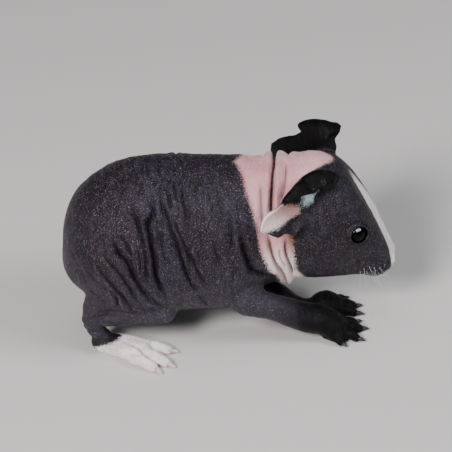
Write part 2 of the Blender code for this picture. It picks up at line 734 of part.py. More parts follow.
torso = body_length("torso", RUMP_END, NECK_AT, TORSO_RINGS, dark_skin)
neck = body_length("neck", NECK_AT, HEAD_AT, NECK_RINGS, pink_skin)
head = make_head(dark_skin)
turning = [torso, neck, head]
for word, side in (("right", -1), ("left", 1)):
    turning.append(mesh_object(f"eye_{word}", *eye_ball(side, EYE_RADIUS), eye_black))
    ear = mesh_object(f"ear_{word}", *ear_mesh(word, side), dark_skin)
    cut_clear(ear, head, neck)
    turning.append(ear)
for thing in turning:
    turn_head(thing)
for word, side, shift in (("right", -1, 0.0), ("left", 1, LEFT_HIND_SHIFT)):
    make_hind_leg(f"hind_leg_{word}", side, shift, dark_skin, torso)
    make_hind_foot(f"hind_foot_{word}", side, shift, pink_skin)
    make_foreleg(f"foreleg_{word}", word, side, dark_skin, torso, neck, head)
    make_forepaw(f"forepaw_{word}", word, side, dark_skin)
stand_on_origin()
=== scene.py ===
"""The looks of a skinny pig pup, a newborn hairless guinea pig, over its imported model: one wrinkled skin
with its markings, wet dark eyes, claws, a thin fuzz, the short hair of its muzzle and feet, and whiskers."""

import math

import bmesh
import bpy
import numpy as np
from mathutils import Matrix, Vector
from mathutils.bvhtree import BVHTree


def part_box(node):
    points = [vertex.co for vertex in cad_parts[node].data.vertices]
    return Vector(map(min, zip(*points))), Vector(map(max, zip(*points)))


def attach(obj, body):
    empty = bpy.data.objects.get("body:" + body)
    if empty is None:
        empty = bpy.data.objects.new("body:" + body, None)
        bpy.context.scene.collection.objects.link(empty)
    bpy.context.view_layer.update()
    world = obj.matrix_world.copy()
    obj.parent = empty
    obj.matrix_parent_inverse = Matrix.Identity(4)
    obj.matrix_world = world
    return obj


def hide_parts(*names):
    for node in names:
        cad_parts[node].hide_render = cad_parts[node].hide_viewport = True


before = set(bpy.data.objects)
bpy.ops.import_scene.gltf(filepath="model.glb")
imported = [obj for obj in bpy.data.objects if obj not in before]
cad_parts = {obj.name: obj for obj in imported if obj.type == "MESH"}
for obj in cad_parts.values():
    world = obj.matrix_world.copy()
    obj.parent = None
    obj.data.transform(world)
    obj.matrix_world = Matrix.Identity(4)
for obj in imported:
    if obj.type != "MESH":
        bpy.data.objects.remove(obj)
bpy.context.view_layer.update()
MM = 0.001

# THE ROOM. A studio table with a pale matt top, seen through a long lens that looks down on the pup's right
# side. A soft light stands to the left, a broader one to the right and a weak one overhead, and two shine on
# the eyes alone, for the glints of a wet ball.

# Millimetres below are those of the solids' own drawing, in which the rump ends at x -52.4.
DRAWN_RUMP_X = -52.4
torso_low, torso_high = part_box("torso")
DRAWING = np.array([torso_low.x / MM - DRAWN_RUMP_X, (torso_low.y + torso_high.y) / 2 / MM, 0.0])

CAMERA_TARGET = (-0.94, 0.0, 35.1)
CAMERA_ELEVATION = 30.0
CAMERA_ROLL = -5.0
CAMERA_AWAY = 0.70
VIEW_WIDTH = 0.1417
SENSOR_WIDTH = 36.0


def placed(name, data):
    """A new object in the scene."""
    thing = bpy.data.objects.new(name, data)
    bpy.context.scene.collection.objects.link(thing)
    return thing


lens = bpy.data.cameras.new("long lens")
lens.sensor_width = SENSOR_WIDTH
lens.lens = SENSOR_WIDTH * CAMERA_AWAY / VIEW_WIDTH
lens.clip_start, lens.clip_end = 0.05, 50.0
camera = placed("camera", lens)
bpy.context.scene.camera = camera
target = Vector((np.array(CAMERA_TARGET) + DRAWING) * MM)
rise = math.radians(CAMERA_ELEVATION)
back = Vector((0.0, -math.cos(rise), math.sin(rise)))
camera.matrix_world = (
    Matrix.Translation(target + back * CAMERA_AWAY)
    @ back.to_track_quat("Z", "Y").to_matrix().to_4x4()
    @ Matrix.Rotation(math.radians(CAMERA_ROLL), 4, "Z")
)


def soft_light(name, azimuth, elevation, away, size, watts, colour):
    """A square lamp that looks at the pup from an azimuth, where 0 is the camera's side and 90 its front.
    Angles are in degrees, and lengths in metres."""
    lamp = bpy.data.lights.new(name, "AREA")
    lamp.size = size
    lamp.energy = watts
    lamp.color = colour
    turn, lift = math.radians(azimuth), math.radians(elevation)
    towards = Vector((math.sin(turn) * math.cos(lift), -math.cos(turn) * math.cos(lift), math.sin(lift)))
    holder = placed(name, lamp)
    holder.matrix_world = Matrix.Translation(target + towards * away) @ towards.to_track_quat(
        "Z", "Y").to_matrix().to_4x4()
    return holder


soft_light("front light", -30.0, 36.0, 1.2, 0.34, 18.5, (1.0, 0.975, 0.985))
soft_light("side light", 62.0, 36.0, 1.2, 0.50, 9.5, (0.95, 0.97, 1.0))
soft_light("overhead light", 0.0, 85.0, 1.3, 1.0, 3.2, (0.97, 0.97, 1.0))
only_eyes = bpy.data.collections.new("only the eyes")
for azimuth in (44.0, 136.0):  # one for the right eye and one for the left
    eye_lamp = soft_light("eye light", azimuth, 48.0, 0.8, 0.9, 130.0, (0.80, 0.92, 1.0))
    eye_lamp.data.shape = "RECTANGLE"
    eye_lamp.data.size_y = 0.40
    eye_lamp.visible_diffuse = False
    eye_lamp.light_linking.receiver_collection = only_eyes
world = bpy.data.worlds.new("room light")
bpy.context.scene.world = world
world.use_nodes = True
world.node_tree.nodes["Background"].inputs["Color"].default_value = (0.92, 0.95, 1.0, 1.0)
world.node_tree.nodes["Background"].inputs["Strength"].default_value = 0.10

FLOOR_HALF = 4.0
floor_mesh = bpy.data.meshes.new("floor")
floor_mesh.from_pydata(
    [(-FLOOR_HALF, -FLOOR_HALF, 0), (FLOOR_HALF, -FLOOR_HALF, 0), (FLOOR_HALF, FLOOR_HALF, 0),
     (-FLOOR_HALF, FLOOR_HALF, 0)], [], [(0, 1, 2, 3)])
floor = placed("floor", floor_mesh)


def new_paint(name, values):
    """A material, its nodes and its shader, with the values that are the same all over it."""
    paint = bpy.data.materials.new(name)
    paint.use_nodes = True
    shader = paint.node_tree.nodes["Principled BSDF"]
    for socket, value in values.items():
        shader.inputs[socket].default_value = value
    return paint, paint.node_tree, shader


floor_paint, _, _ = new_paint("pale floor", {"Base Color": (0.62, 0.60, 0.58, 1.0), "Roughness": 0.8})
floor_mesh.materials.append(floor_paint)

# THE SKIN. One thin, loose skin over the whole pup, black with a pink collar, blaze and hind feet. It
# falls in deep folds on the flank, nape and throat, and closes round the eyes, nostrils and lips.
FLESH = [
    "torso", "neck", "head", "ear_left", "ear_right", "foreleg_left", "foreleg_right", "forepaw_left",
    "forepaw_right", "hind_leg_left", "hind_leg_right", "hind_foot_left", "hind_foot_right",
]
BRIDGE = 0.25  # each solid grows by this, so that the thin cuts between them close
COAT_DEPTH = 0.12  # and the finished skin lies this far inside the solids
EAR_INWARD, FOOT_INWARD = 0.22, 0.27  # how far it moves back in at the thin ears and the feet
VOXEL = 0.34  # the faces of the skin while it is shaped
SKIN_TRIANGLES = 194000
SMOOTHING_ROUNDS = 60
HEAD_TURN, TURN_FROM, TURN_TO = 5.0, 8.0, 26.0  # degrees, and the x between which the neck bends
UNBEND_ROUNDS = 4
AXIS_Z, FOLD_RADIUS = 35.5, 24.0

# Each foot: which kind, its side, where its heel or wrist stands, and its yaw outwards.
FEET = {
    "hind_foot_right": ("hind", -1, (-44.2, 10.0), 31.0),
    "hind_foot_left": ("hind", 1, (-43.2, 10.0), 31.0),
    "forepaw_right": ("fore", -1, (22.0, 14.2), 2.0),
    "forepaw_left": ("fore", 1, (22.0, -4.0), 20.0),
}
# Toes as drawn from the heel or wrist: the toe's tip and the claw's.
TOES = {
    "hind": [
        ((21.8, -5.6, 1.4), (24.9, -6.9, 0.75)),
        ((24.6, 0.7, 1.4), (28.2, 0.9, 0.75)),
        ((22.6, 4.7, 1.4), (26.0, 5.6, 0.75)),
    ],
    "fore": [
        ((10.0, 5.6, 1.3), (11.6, 7.6, 0.75)),
        ((14.9, 3.9, 1.3), (17.4, 4.9, 0.75)),
        ((16.2, -1.4, 1.3), (19.0, -1.7, 0.75)),
        ((14.6, -5.2, 1.3), (17.2, -6.6, 0.75)),
    ],
}
TOE_END = 1.4  # how far a toe's round end reaches past its tip
CLAW_REACH = 1.1  # how far a solid's claw reaches from the line through it

# The eyes, the middle of the muzzle and the bare pad of the nose; the last two on the head put straight.
EYE_PLACE = {}
for word in ("left", "right"):
    eye_low, eye_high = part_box(f"eye_{word}")
    EYE_PLACE[word] = np.array((eye_low + eye_high) / 2) / MM
EYE_RADIUS = 3.1
LID_EDGE = 2.35  # how far the lids' edges stand from the eye's axis
MUZZLE = (50.0, 0.0, 19.0)
NOSE_PAD = (51.4, 1.2, 20.8)
NOSE_BRIDGE_RISE = -0.40  # the bridge of the nose is a little flatter than the solid's


def smooth_step(value, start, end):
    """From 0 at start to 1 at end, easing in and out."""
    share = np.clip((value - start) / (end - start), 0.0, 1.0)
    return share * share * (3.0 - 2.0 * share)


def bell(away, width):
    """1 where away is 0, and falling off over a width."""
    return np.exp(-((away / width) ** 2))


def straightened(points):
    """Points in the drawing's millimetres with the bent neck put straight, so that the head is mirrored
    on y = 0."""
    x, y, z = points.T
    straight = x.copy()
    for _ in range(UNBEND_ROUNDS):
        turn = np.radians(HEAD_TURN) * smooth_step(straight, TURN_FROM, TURN_TO)
        straight = TURN_FROM + (x - TURN_FROM) * np.cos(turn) - y * np.sin(turn)
    return np.stack([straight, (x - TURN_FROM) * np.sin(turn) + y * np.cos(turn), z], axis=-1)


def turned(points):
    """The other way: from the straight neck and head to the bent ones."""
    x, y, z = np.array(points, float).T
    turn = -np.radians(HEAD_TURN) * smooth_step(x, TURN_FROM, TURN_TO)
    reach = x - TURN_FROM
    return np.stack([TURN_FROM + reach * np.cos(turn) - y * np.sin(turn),
                     reach * np.sin(turn) + y * np.cos(turn), z], axis=-1)


def as_foot(points, side, place, yaw):
    """Points of the drawing as seen from a foot: along it from its heel or wrist, across it, and up."""
    x, y, z = points.T
    along, across = x - place[0], y * side - place[1]
    c, s = math.cos(math.radians(yaw)), math.sin(math.radians(yaw))
    return np.stack([along * c + across * s, across * c - along * s, z], axis=-1)


def from_foot(points, side, place, yaw):
    """The other way: from a foot to the drawing."""
    along, across, z = np.array(points, float).T
    c, s = math.cos(math.radians(yaw)), math.sin(math.radians(yaw))
    return np.stack([along * c - across * s + place[0], side * (along * s + across * c + place[1]), z],
                    axis=-1)


def path_distance(points, path):
    """How far points lie from a path, and how far along it they are as a share."""
    path = np.array(path, float)
    lengths = np.linalg.norm(np.diff(path, axis=0), axis=1)
    before = np.concatenate([[0.0], np.cumsum(lengths)])
    nearest = np.full(len(points), 1e9)
    along = np.zeros(len(points))
    for k, length in enumerate(lengths):
        share = np.clip((points - path[k]) @ (path[k + 1] - path[k]) / length**2, 0.0, 1.0)
        away = np.linalg.norm(points - path[k] - share[:, None] * (path[k + 1] - path[k]), axis=1)
        closer = away < nearest
        nearest = np.where(closer, away, nearest)
        along = np.where(closer, before[k] + share * length, along)
    return nearest, along / before[-1]


def lattice(cells, seed):
    """A number from 0 to 1 for each whole-numbered cell."""
    x, y, z = cells.astype(np.int64).T
    mixed = (x * 73856093) ^ (y * 19349663) ^ (z * 83492791) ^ (seed * 26544357)
    mixed = (mixed ^ (mixed >> 13)) * 1274126177
    return ((mixed ^ (mixed >> 16)) & 0xFFFF) / 65535.0


def soft_noise(points, size, seed):
    """Smooth noise from -1 to 1 whose lumps are about size across; size may differ along x, y and z."""
    scaled = points / np.array(size)
    base = np.floor(scaled)
    f = scaled - base
    f = f * f * (3 - 2 * f)
    total = np.zeros(len(points))
    for dx in (0, 1):
        for dy in (0, 1):
            for dz in (0, 1):
                weight = (f[:, 0] if dx else 1 - f[:, 0]) * (f[:, 1] if dy else 1 - f[:, 1])
                weight = weight * (f[:, 2] if dz else 1 - f[:, 2])
                total += weight * lattice(base + (dx, dy, dz), seed)
    return total * 2 - 1


def read_points(mesh):
    """A mesh's points, in the drawing's millimetres."""
    points = np.empty(len(mesh.vertices) * 3)
    mesh.vertices.foreach_get("co", points)
    return points.reshape(-1, 3) / MM - DRAWING


def write_points(mesh, points):
    """Puts points of the drawing's millimetres into a mesh."""
    mesh.vertices.foreach_set("co", ((points + DRAWING) * MM).ravel())
    mesh.update()


def read_normals(mesh):
    """Which way the skin faces at each of a mesh's points."""
    normals = np.empty(len(mesh.vertices) * 3)
    mesh.vertex_normals.foreach_get("vector", normals)
    return normals.reshape(-1, 3)


def diffuse(mesh, values, rounds, share):
    """Moves each vertex's value towards the mean of its neighbours', by its own share of the way."""
    ends = np.empty(len(mesh.edges) * 2, np.int64)
    mesh.edges.foreach_get("vertices", ends)
    a, b = ends.reshape(-1, 2).T
    count = np.bincount(a, minlength=len(values)) + np.bincount(b, minlength=len(values))
    columns = values.reshape(len(values), -1).T.copy()
    for _ in range(rounds):
        for column in columns:
            mean = np.bincount(a, column[b], len(values)) + np.bincount(b, column[a], len(values))
            column += (mean / count - column) * share
    return columns.T.reshape(values.shape)


def unit(vector):
    """A vector made one long."""
    return vector / np.linalg.norm(vector)


def without_claws(points, node):
    """A foot's points with its claws drawn back into the ends of the toes."""
    kind, *place = FEET[node]
    here = as_foot(points, *place)
    for tip, claw_tip in TOES[kind]:
        tip = np.array(tip)
        ahead = unit(claw_tip - tip)
        along = (here - tip) @ ahead
        away = np.linalg.norm(here - tip - along[:, None] * ahead, axis=1)
        here[(along > TOE_END) & (away < CLAW_REACH)] = tip + ahead * TOE_END * 0.8
    return from_foot(here, *place)


def flesh_copy():
    """Copies of the solids as one mesh, each a little swollen, so that they meet."""
    joined = bmesh.new()
    for node in FLESH:
        piece = bmesh.new()
        piece.from_mesh(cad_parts[node].data)
        bmesh.ops.remove_doubles(piece, verts=piece.verts, dist=1e-6)
        piece.normal_update()
        points = np.array([v.co / MM + v.normal * BRIDGE for v in piece.verts]) - DRAWING
        if node in FEET:
            points = without_claws(points, node)
        swollen = bpy.data.meshes.new(node)
        piece.to_mesh(swollen)
        piece.free()
        write_points(swollen, points)
        joined.from_mesh(swollen)
        bpy.data.meshes.remove(swollen)
    mesh = bpy.data.meshes.new("skin")
    joined.to_mesh(mesh)
    joined.free()
    return mesh


def made_plain(thing):
    """Applies an object's modifiers to its mesh."""
    bpy.context.view_layer.update()
    shaped = bpy.data.meshes.new_from_object(thing.evaluated_get(bpy.context.evaluated_depsgraph_get()))
    thing.modifiers.clear()
    thing.data = shaped
    return shaped


def nearest_nodes(points):
    """Which of the solids of flesh each point lies on, as its place in the list."""
    corners, triangles, owners = [], [], []
    for index, node in enumerate(FLESH):
        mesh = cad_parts[node].data
        start = len(corners)
        corners += [v.co / MM - Vector(DRAWING) for v in mesh.vertices]
        triangles += [[start + k for k in face.vertices] for face in mesh.polygons]
        owners += [index] * len(mesh.polygons)
    tree = BVHTree.FromPolygons(corners, triangles)
    return np.array([owners[tree.find_nearest(Vector(p))[2]] for p in points])


def on(owners, *words):
    """Whether each point lies on a solid whose name begins with one of the words."""
    chosen = [k for k, node in enumerate(FLESH) if node.startswith(words)]
    return np.isin(owners, chosen)


skin = placed("skin", flesh_copy())
remesh = skin.modifiers.new("one skin", "REMESH")
remesh.mode = "VOXEL"
remesh.voxel_size = VOXEL * MM
mesh = made_plain(skin)

# The flats that parting the solids left, and their facets, are smoothed away, by a share of the way in each
# round. Ears, toes, lids, nostrils and lips keep their shape.
SMOOTHED = {("torso", "neck", "head"): 0.5, ("foreleg", "hind_leg"): 0.35, ("forepaw", "hind_foot"): 0.055,
            ("ear",): 0.085}
FACE_SMOOTHED = 0.07
points = read_points(mesh)
owners = nearest_nodes(points)
share = np.zeros(len(points))
for words, part_share in SMOOTHED.items():
    share[on(owners, *words)] = part_share
straight = straightened(points)
near_face = np.zeros(len(points))
for word in ("left", "right"):
    away = np.linalg.norm(points - (EYE_PLACE[word] - DRAWING), axis=1)
    near_face = np.maximum(near_face, 1 - smooth_step(away, 4.0, 7.0))
muzzle_away = np.linalg.norm(straight - MUZZLE, axis=1)
near_face = np.maximum(near_face, 1 - smooth_step(muzzle_away, 5.0, 9.0))
share = share + (FACE_SMOOTHED - share) * near_face * on(owners, "head")
share = diffuse(mesh, share, 6, 0.6)
points = diffuse(mesh, points, SMOOTHING_ROUNDS, share)
write_points(mesh, points)
inward = np.where(on(owners, "ear"), EAR_INWARD, BRIDGE + COAT_DEPTH)
inward[on(owners, "forepaw", "hind_foot")] = FOOT_INWARD
inward = diffuse(mesh, inward, 8, 0.6)
points = points - read_normals(mesh) * inward[:, None]

# Folds drawn on the body's side as points (x, angle round the body's axis line), with depth and width.
FOLDS = [
    ([(-29.7, 52), (-27.8, 39), (-26.5, 22), (-26.2, 6), (-26.4, -8), (-25.6, -15)], 0.60, 0.60),
    ([(-22.5, 58), (-22.8, 44), (-24.4, 36), (-24.2, 25), (-23.7, 9), (-23.7, -5), (-22.9, -16), (-21, -32)],
     0.95, 0.65),
    ([(-19.9, 62), (-19.8, 52), (-18.6, 42), (-16.9, 24), (-15.3, 4), (-13.6, -17), (-11, -32)], 0.60, 0.60),
    ([(-20.9, 30), (-20.7, 18), (-20.6, 8)], 0.35, 0.5),
    ([(-12.8, 67), (-13, 52), (-12.2, 39), (-11.8, 30)], 0.40, 0.55),
    ([(-8.9, 67), (-9, 55), (-8.5, 50)], 0.25, 0.5),
    ([(-36.3, 28), (-34, 13), (-32, 7), (-30.2, -7), (-28.1, -20), (-25, -36)], 0.66, 0.6),
    ([(-39.2, 13), (-37, 4), (-33.7, -7), (-31.4, -19), (-29.6, -29)], 0.52, 0.5),
    ([(-41.8, 1), (-38.7, -10), (-35.4, -19), (-32.4, -29), (-31.8, -37)], 0.58, 0.5),
    ([(-42.6, -15), (-39.7, -18), (-36.6, -24), (-36.2, -31), (-37.4, -39)], 0.55, 0.5),
    ([(-35, 55), (-34.1, 42)], 0.20, 0.5),
    ([(-11.7, -30), (-7.9, -54)], 0.30, 0.6),
    ([(3.6, 19), (4.2, -2), (6.2, -22), (13.2, -47)], 0.95, 0.7),
    ([(15.9, 112), (15.7, 90), (14.7, 69), (13.6, 44), (14, 28)], 1.55, 0.62),
    ([(19.5, 84), (18.6, 64), (16.9, 48)], 0.45, 0.5),
    ([(10.7, 66), (10.4, 39), (11, 24)], 0.40, 0.5),
    ([(11.9, 16), (13.1, -20), (15.9, -46), (17.5, -70)], 0.75, 0.6),
    ([(17.5, 8), (17.4, -16), (19.1, -42), (20.5, -66)], 0.80, 0.6),
    ([(15.2, -4), (15.4, -18), (17.2, -34)], 0.35, 0.45),
    ([(-2.5, 62), (-1.5, 44), (-2.2, 30)], 0.18, 0.6),
    ([(-46.5, 22), (-45.0, 4), (-43.0, -16)], 0.25, 0.6),
    ([(-18.6, 66), (-17.6, 56), (-17.0, 44)], 0.45, 0.45),
    ([(-15.6, 70), (-15.4, 60), (-14.8, 50)], 0.45, 0.45),
    ([(-17.0, 38), (-14.8, 22), (-13.2, 8), (-12.4, -6)], 0.50, 0.45),
    ([(-13.2, 12), (-11.0, -8), (-8.4, -26)], 0.42, 0.5),
    ([(-28.2, 20), (-28.0, 8), (-27.6, -4)], 0.42, 0.45),
    ([(-33.6, 30), (-31.6, 20), (-30.2, 10)], 0.40, 0.45),
    ([(-34.4, -22), (-32.8, -32), (-31.6, -42)], 0.45, 0.45),
    ([(-27.4, -18), (-24.6, -32), (-22.6, -42)], 0.48, 0.5),
    ([(-5.2, 20), (-4.6, 4), (-3.4, -12)], 0.28, 0.55),
    ([(0.6, 36), (0.9, 20), (0.4, 6)], 0.30, 0.55),
]
FOLD_DEEPER = 1.6
ROLL_HEIGHT = 0.52  # of the rolls beside a fold, as a share of its depth
LEFT_SHIFT, LEFT_SQUEEZE = 1.0, 0.92  # the left side's folds lie a little further on, and closer together
# Fine creases between the folds: the size of their pattern, how sharp and deep they are, and a seed.
FINE_CREASES = [((3.2, 11.0, 9.0), 2.6, 0.40, 5), ((1.7, 6.0, 9.0), 2.2, 0.20, 6)]


def round_body(points):
    """Places on the body's side: x, and the distance round it from the level of its axis line."""
    x, y, z = points.T
    return np.stack([x, np.arctan2(z - AXIS_Z, np.abs(y)) * FOLD_RADIUS], axis=-1)


def rounded_path(path, pieces=5):
    """A smooth line through a path's points, as a longer list of points."""
    path = np.array(path, float)
    ends = np.vstack([2 * path[0] - path[1], path, 2 * path[-1] - path[-2]])
    line = []
    for k in range(len(path) - 1):
        a, b, c, d = ends[k:k + 4]
        for t in np.arange(pieces) / pieces:
            line.append(b + (c - a) * t / 2 + (a - 2.5 * b + 2 * c - d / 2) * t**2
                        + (1.5 * b - a / 2 - 1.5 * c + d / 2) * t**3)
    return line + [path[-1]]


def fold_relief(place, squeeze):
    """How far folds lift or sink the skin, with a roll along both sides of each, and the painted shade in
    them.
    """
    relief, depth_of_shade = np.zeros(len(place)), np.zeros(len(place))
    for path, depth, width in FOLDS:
        line = []
        for x, angle in path:
            squeezed = min(angle, angle * squeeze + 90 * (1 - squeeze))
            line.append((x, math.radians(squeezed) * FOLD_RADIUS))
        away, along = path_distance(place, rounded_path(line))
        fade = smooth_step(along, -0.05, 0.22) * (1 - smooth_step(along, 0.78, 1.05))
        groove = np.exp(-np.abs(away / (0.80 * width)) ** 1.4)
        roll = bell(away - 1.0 - 1.2 * width, 1.15)
        relief += FOLD_DEEPER * depth * fade * (ROLL_HEIGHT * roll - groove)
        dark = bell(away, 0.70 * width) * fade * min(1.0, depth / 0.6)
        depth_of_shade = np.maximum(depth_of_shade, dark)
    return relief, depth_of_shade


def body_folds(points):
    """Relief and painted shade of the folds of trunk and neck, with fine creases between the large ones."""
    place = round_body(points)
    right = points[:, 1] < 0
    from_middle = smooth_step(np.abs(points[:, 1]), 0.5, 7.0)
    place[~right, 0] -= LEFT_SHIFT * from_middle[~right]
    relief, shade = np.zeros(len(points)), np.zeros(len(points))
    for side, squeeze in ((right, 1.0), (~right, LEFT_SQUEEZE)):
        relief[side], shade[side] = fold_relief(place[side], squeeze)
    drawn = np.stack([place[:, 0] + 0.12 * place[:, 1] * np.sign(-12.0 - place[:, 0]), place[:, 1],
                      np.sign(points[:, 1]) * 50.0], axis=-1)
    drawn[:, 0] += 1.2 * soft_noise(drawn, (9.0, 7.0, 9.0), 3)
    creased = np.clip(0.6 + 0.8 * soft_noise(drawn, (14.0, 12.0, 9.0), 8), 0.15, 1.0) * from_middle
    for size, sharp, depth, seed in FINE_CREASES:
        lines = np.clip(1 - np.abs(soft_noise(drawn, size, seed)) * sharp, 0, 1) ** 2
        relief -= depth * lines * creased
    relief += 0.30 * soft_noise(drawn, (4.5, 13.0, 9.0), 12) * creased
    return relief, shade


def limb_wrinkles(points, owners):
    """Fine wrinkles across the limbs, and round the hocks."""
    relief = 0.13 * soft_noise(points, (1.3, 4.0, 3.0), 31) * on(owners, "foreleg")
    wrapped = 0.42 * soft_noise(points, (5.0, 7.0, 1.25), 32) * smooth_step(-points[:, 0], 34.0, 41.0)
    wrapped = wrapped * smooth_step(points[:, 2], 5.0, 8.0) * (1 - smooth_step(points[:, 2], 17.0, 24.0))
    relief += wrapped * on(owners, "hind_leg", "torso")
    relief += 0.10 * soft_noise(points, (2.6, 2.6, 1.8), 33) * on(owners, "head")
    return relief


# The lines between a hind foot's toes, as places along it and across it.
TOE_GAPS = [
    [(8.0, -1.1), (14.0, -1.7), (17.5, -2.2), (20.0, -2.8)],
    [(8.0, 1.4), (14.0, 1.7), (17.5, 2.2), (20.0, 2.9)],
]
TOE_GAP_WIDTH, TOE_GAP_DEPTH = 0.42, 0.55


def toe_gaps(points, owners):
    """How near points on the hind feet's upper side are to the lines between the toes."""
    near = np.zeros(len(points))
    for node in ("hind_foot_left", "hind_foot_right"):
        part = on(owners, node)
        here = as_foot(points[part], *FEET[node][1:])
        for path in TOE_GAPS:
            away, along = path_distance(here[:, :2], rounded_path(path))
            gap = bell(away, TOE_GAP_WIDTH) * smooth_step(along, 0.0, 0.4)
            near[part] = np.maximum(near[part], gap * smooth_step(here[:, 2], 0.8, 1.8))
    return near


straight = straightened(points)
body = on(owners, "torso", "neck")
relief, shade = np.zeros(len(points)), np.zeros(len(points))
relief[body], shade[body] = body_folds(straight[body])
relief += limb_wrinkles(straight, owners) - TOE_GAP_DEPTH * toe_gaps(points, owners)

# The mouth runs from its corners round under the nose, and a groove joins it to the nose.
MOUTH = [(43.6, 9.6, 21.8), (45.3, 8.9, 18.9), (46.8, 7.4, 17.2), (48.2, 4.2, 16.1), (48.9, 0.0, 15.8)]
PHILTRUM = [(48.9, 0.0, 15.8), (50.6, 0.0, 16.4), (51.3, 0.0, 18.6), (51.5, 0.0, 19.8)]
NOSTRIL = [(51.6, 1.1, 19.9), (51.4, 1.8, 20.4), (51.0, 2.5, 21.1), (50.5, 2.7, 22.0)]
# Each with its depth, its width, how dark its painted shade is, and how much a distance along the head
# counts: little at a nostril, so that it opens to the front.
GROOVES = [(MOUTH, 0.65, 0.55, 0.9, 1.0), (PHILTRUM, 0.80, 0.50, 0.9, 1.0), (NOSTRIL, 1.3, 0.55, 1.0, 0.55)]
on_head = on(owners, "head")


def face_grooves(straight):
    """Relief and painted shade of the mouth, the cleft of the lip and the nostrils."""
    face = np.abs(straight) * (0, 1, 0) + straight * (1, 0, 1)
    relief, shade = np.zeros(len(face)), np.zeros(len(face))
    for path, depth, width, dark, counts in GROOVES:
        line = rounded_path(np.array(path) * (counts, 1, 1))
        away, along = path_distance(face * (counts, 1, 1), line)
        fade = 1 - 0.6 * smooth_step(1 - along, 0.8, 1.0)
        groove = bell(away, width) * fade
        relief += depth * (0.30 * bell(away - 2.2 * width, 1.4 * width) - groove)
        shade = np.maximum(shade, dark * groove)
    return relief, shade


relief += on_head * face_grooves(straight)[0]
on_bridge = smooth_step(straight[:, 0], 36.5, 41.5) * (1 - smooth_step(np.abs(straight[:, 1]), 2.0, 6.5))
relief += on_head * on_bridge * smooth_step(straight[:, 2], 23.0, 30.0) * NOSE_BRIDGE_RISE
points = points + read_normals(mesh) * relief[:, None]

EYE_LOOKS = (0.42, 0.90, 0.18)  # which way the left eye looks from the straight head
EYE_CORNER = (1.0, 0.0, -0.75)  # towards the front corner of the lids
EYE_LONG, EYE_NARROW = 1.12, 0.94  # how much longer and narrower the lids' opening is than a round one
RIM_HEIGHT, FURROW_DEPTH, FURROW_DEEPER_ABOVE, LID_ROLL_HEIGHT = 0.34, 0.16, 0.22, 0.10


def hug_eyes(points):
    """Closes the lids on each eye: a rim that touches the ball, and a fine fold round it."""
    for word, centre in EYE_PLACE.items():
        centre = centre - DRAWING
        middle = straightened(centre[None])[0]
        outward = np.array(EYE_LOOKS) * (1, 1 if word == "left" else -1, 1)
        outward = unit(turned((middle + outward)[None])[0] - centre)
        away = points - centre
        along = away @ outward
        distance = np.linalg.norm(away, axis=1)
        corner = unit(np.array(EYE_CORNER) - outward * (outward @ EYE_CORNER))
        long_way = away @ corner
        short_way = away @ np.cross(outward, corner)
        across = np.hypot(long_way / EYE_LONG, short_way / EYE_NARROW)
        front = on_head & (along > 0)
        touching = front & (distance < EYE_RADIUS + 1.1) & (across < LID_EDGE + 0.9)
        hold = 1 - smooth_step(across, LID_EDGE, LID_EDGE + 0.9)
        wanted = EYE_RADIUS + 0.10 + 0.35 * smooth_step(across, LID_EDGE - 0.2, LID_EDGE + 0.5)
        scale = 1 + (wanted / np.maximum(distance, 0.1) - 1) * hold
        points = np.where(touching[:, None], centre + away * scale[:, None], points)
        # The lids' rim, the furrow round it, which is deepest above the eye, and the roll outside that.
        above = smooth_step(short_way * np.sign(np.cross(outward, corner)[2]), -1.5, 1.5)
        ring = RIM_HEIGHT * bell(across - LID_EDGE - 0.60, 0.42)
        ring -= (FURROW_DEPTH + FURROW_DEEPER_ABOVE * above) * bell(across - LID_EDGE - 1.45, 0.30)
        ring += LID_ROLL_HEIGHT * bell(across - LID_EDGE - 2.2, 0.55)
        near = front & (distance < EYE_RADIUS + 4.0)
        points = points + outward * (ring * near)[:, None]
    return points


points = hug_eyes(points)

# The ears are soft sheets: their folds, tips and notches are pulled into place, seen from each ear's root
# as (backwards, up, outwards). The throat hangs in a small point, the rump is full, and the chin is short.
# Each pull has its centre, how far round it is felt, and how far it moves the skin.
EAR_ROOT = np.array((29.6, 11.3, 49.4))
EAR_BACK = unit(np.array((-0.783, 0.621, -0.04)))
EAR_UP = unit(np.array((-0.09, 0.145, 0.985)))
EAR_OUT = np.cross(EAR_BACK, EAR_UP)
EAR_PULLS = {
    "ear_right": [
        ((-1.5, 7.0, 2.8), 4.5, (-0.3, -3.2, 0.5)),
        ((4.5, 8.0, 3.0), 3.0, (0.0, -1.0, 0.3)),
        ((21.0, 4.2, -0.5), 4.2, (1.5, 1.4, 0.0)),
        ((14.6, -6.0, 0.2), 4.6, (0.0, 1.7, 0.0)),
        ((13.6, 9.2, 1.2), 3.8, (2.4, 1.3, 0.5)),
        ((9.8, 9.2, 2.0), 4.4, (0.6, 2.4, 0.3)),
        ((0.5, 7.2, 2.8), 2.6, (0.0, -1.0, 0.2)),
        ((22.6, 1.6, -0.8), 4.0, (1.5, 0.0, 0.0)),
        ((7.3, -7.0, 0.2), 4.8, (0.2, 2.7, -0.2)),
    ],
    "ear_left": [
        ((4.4, 12.4, -0.6), 3.2, (3.0, -0.3, -0.3)),
        ((5.6, 8.8, -1.4), 2.0, (-1.2, -0.9, 0.0)),
        ((-6.4, 12.6, 2.8), 2.6, (0.6, -1.0, 0.0)),
        ((-5.8, 8.8, 0.6), 3.0, (1.7, 0.0, 0.0)),
    ],
}
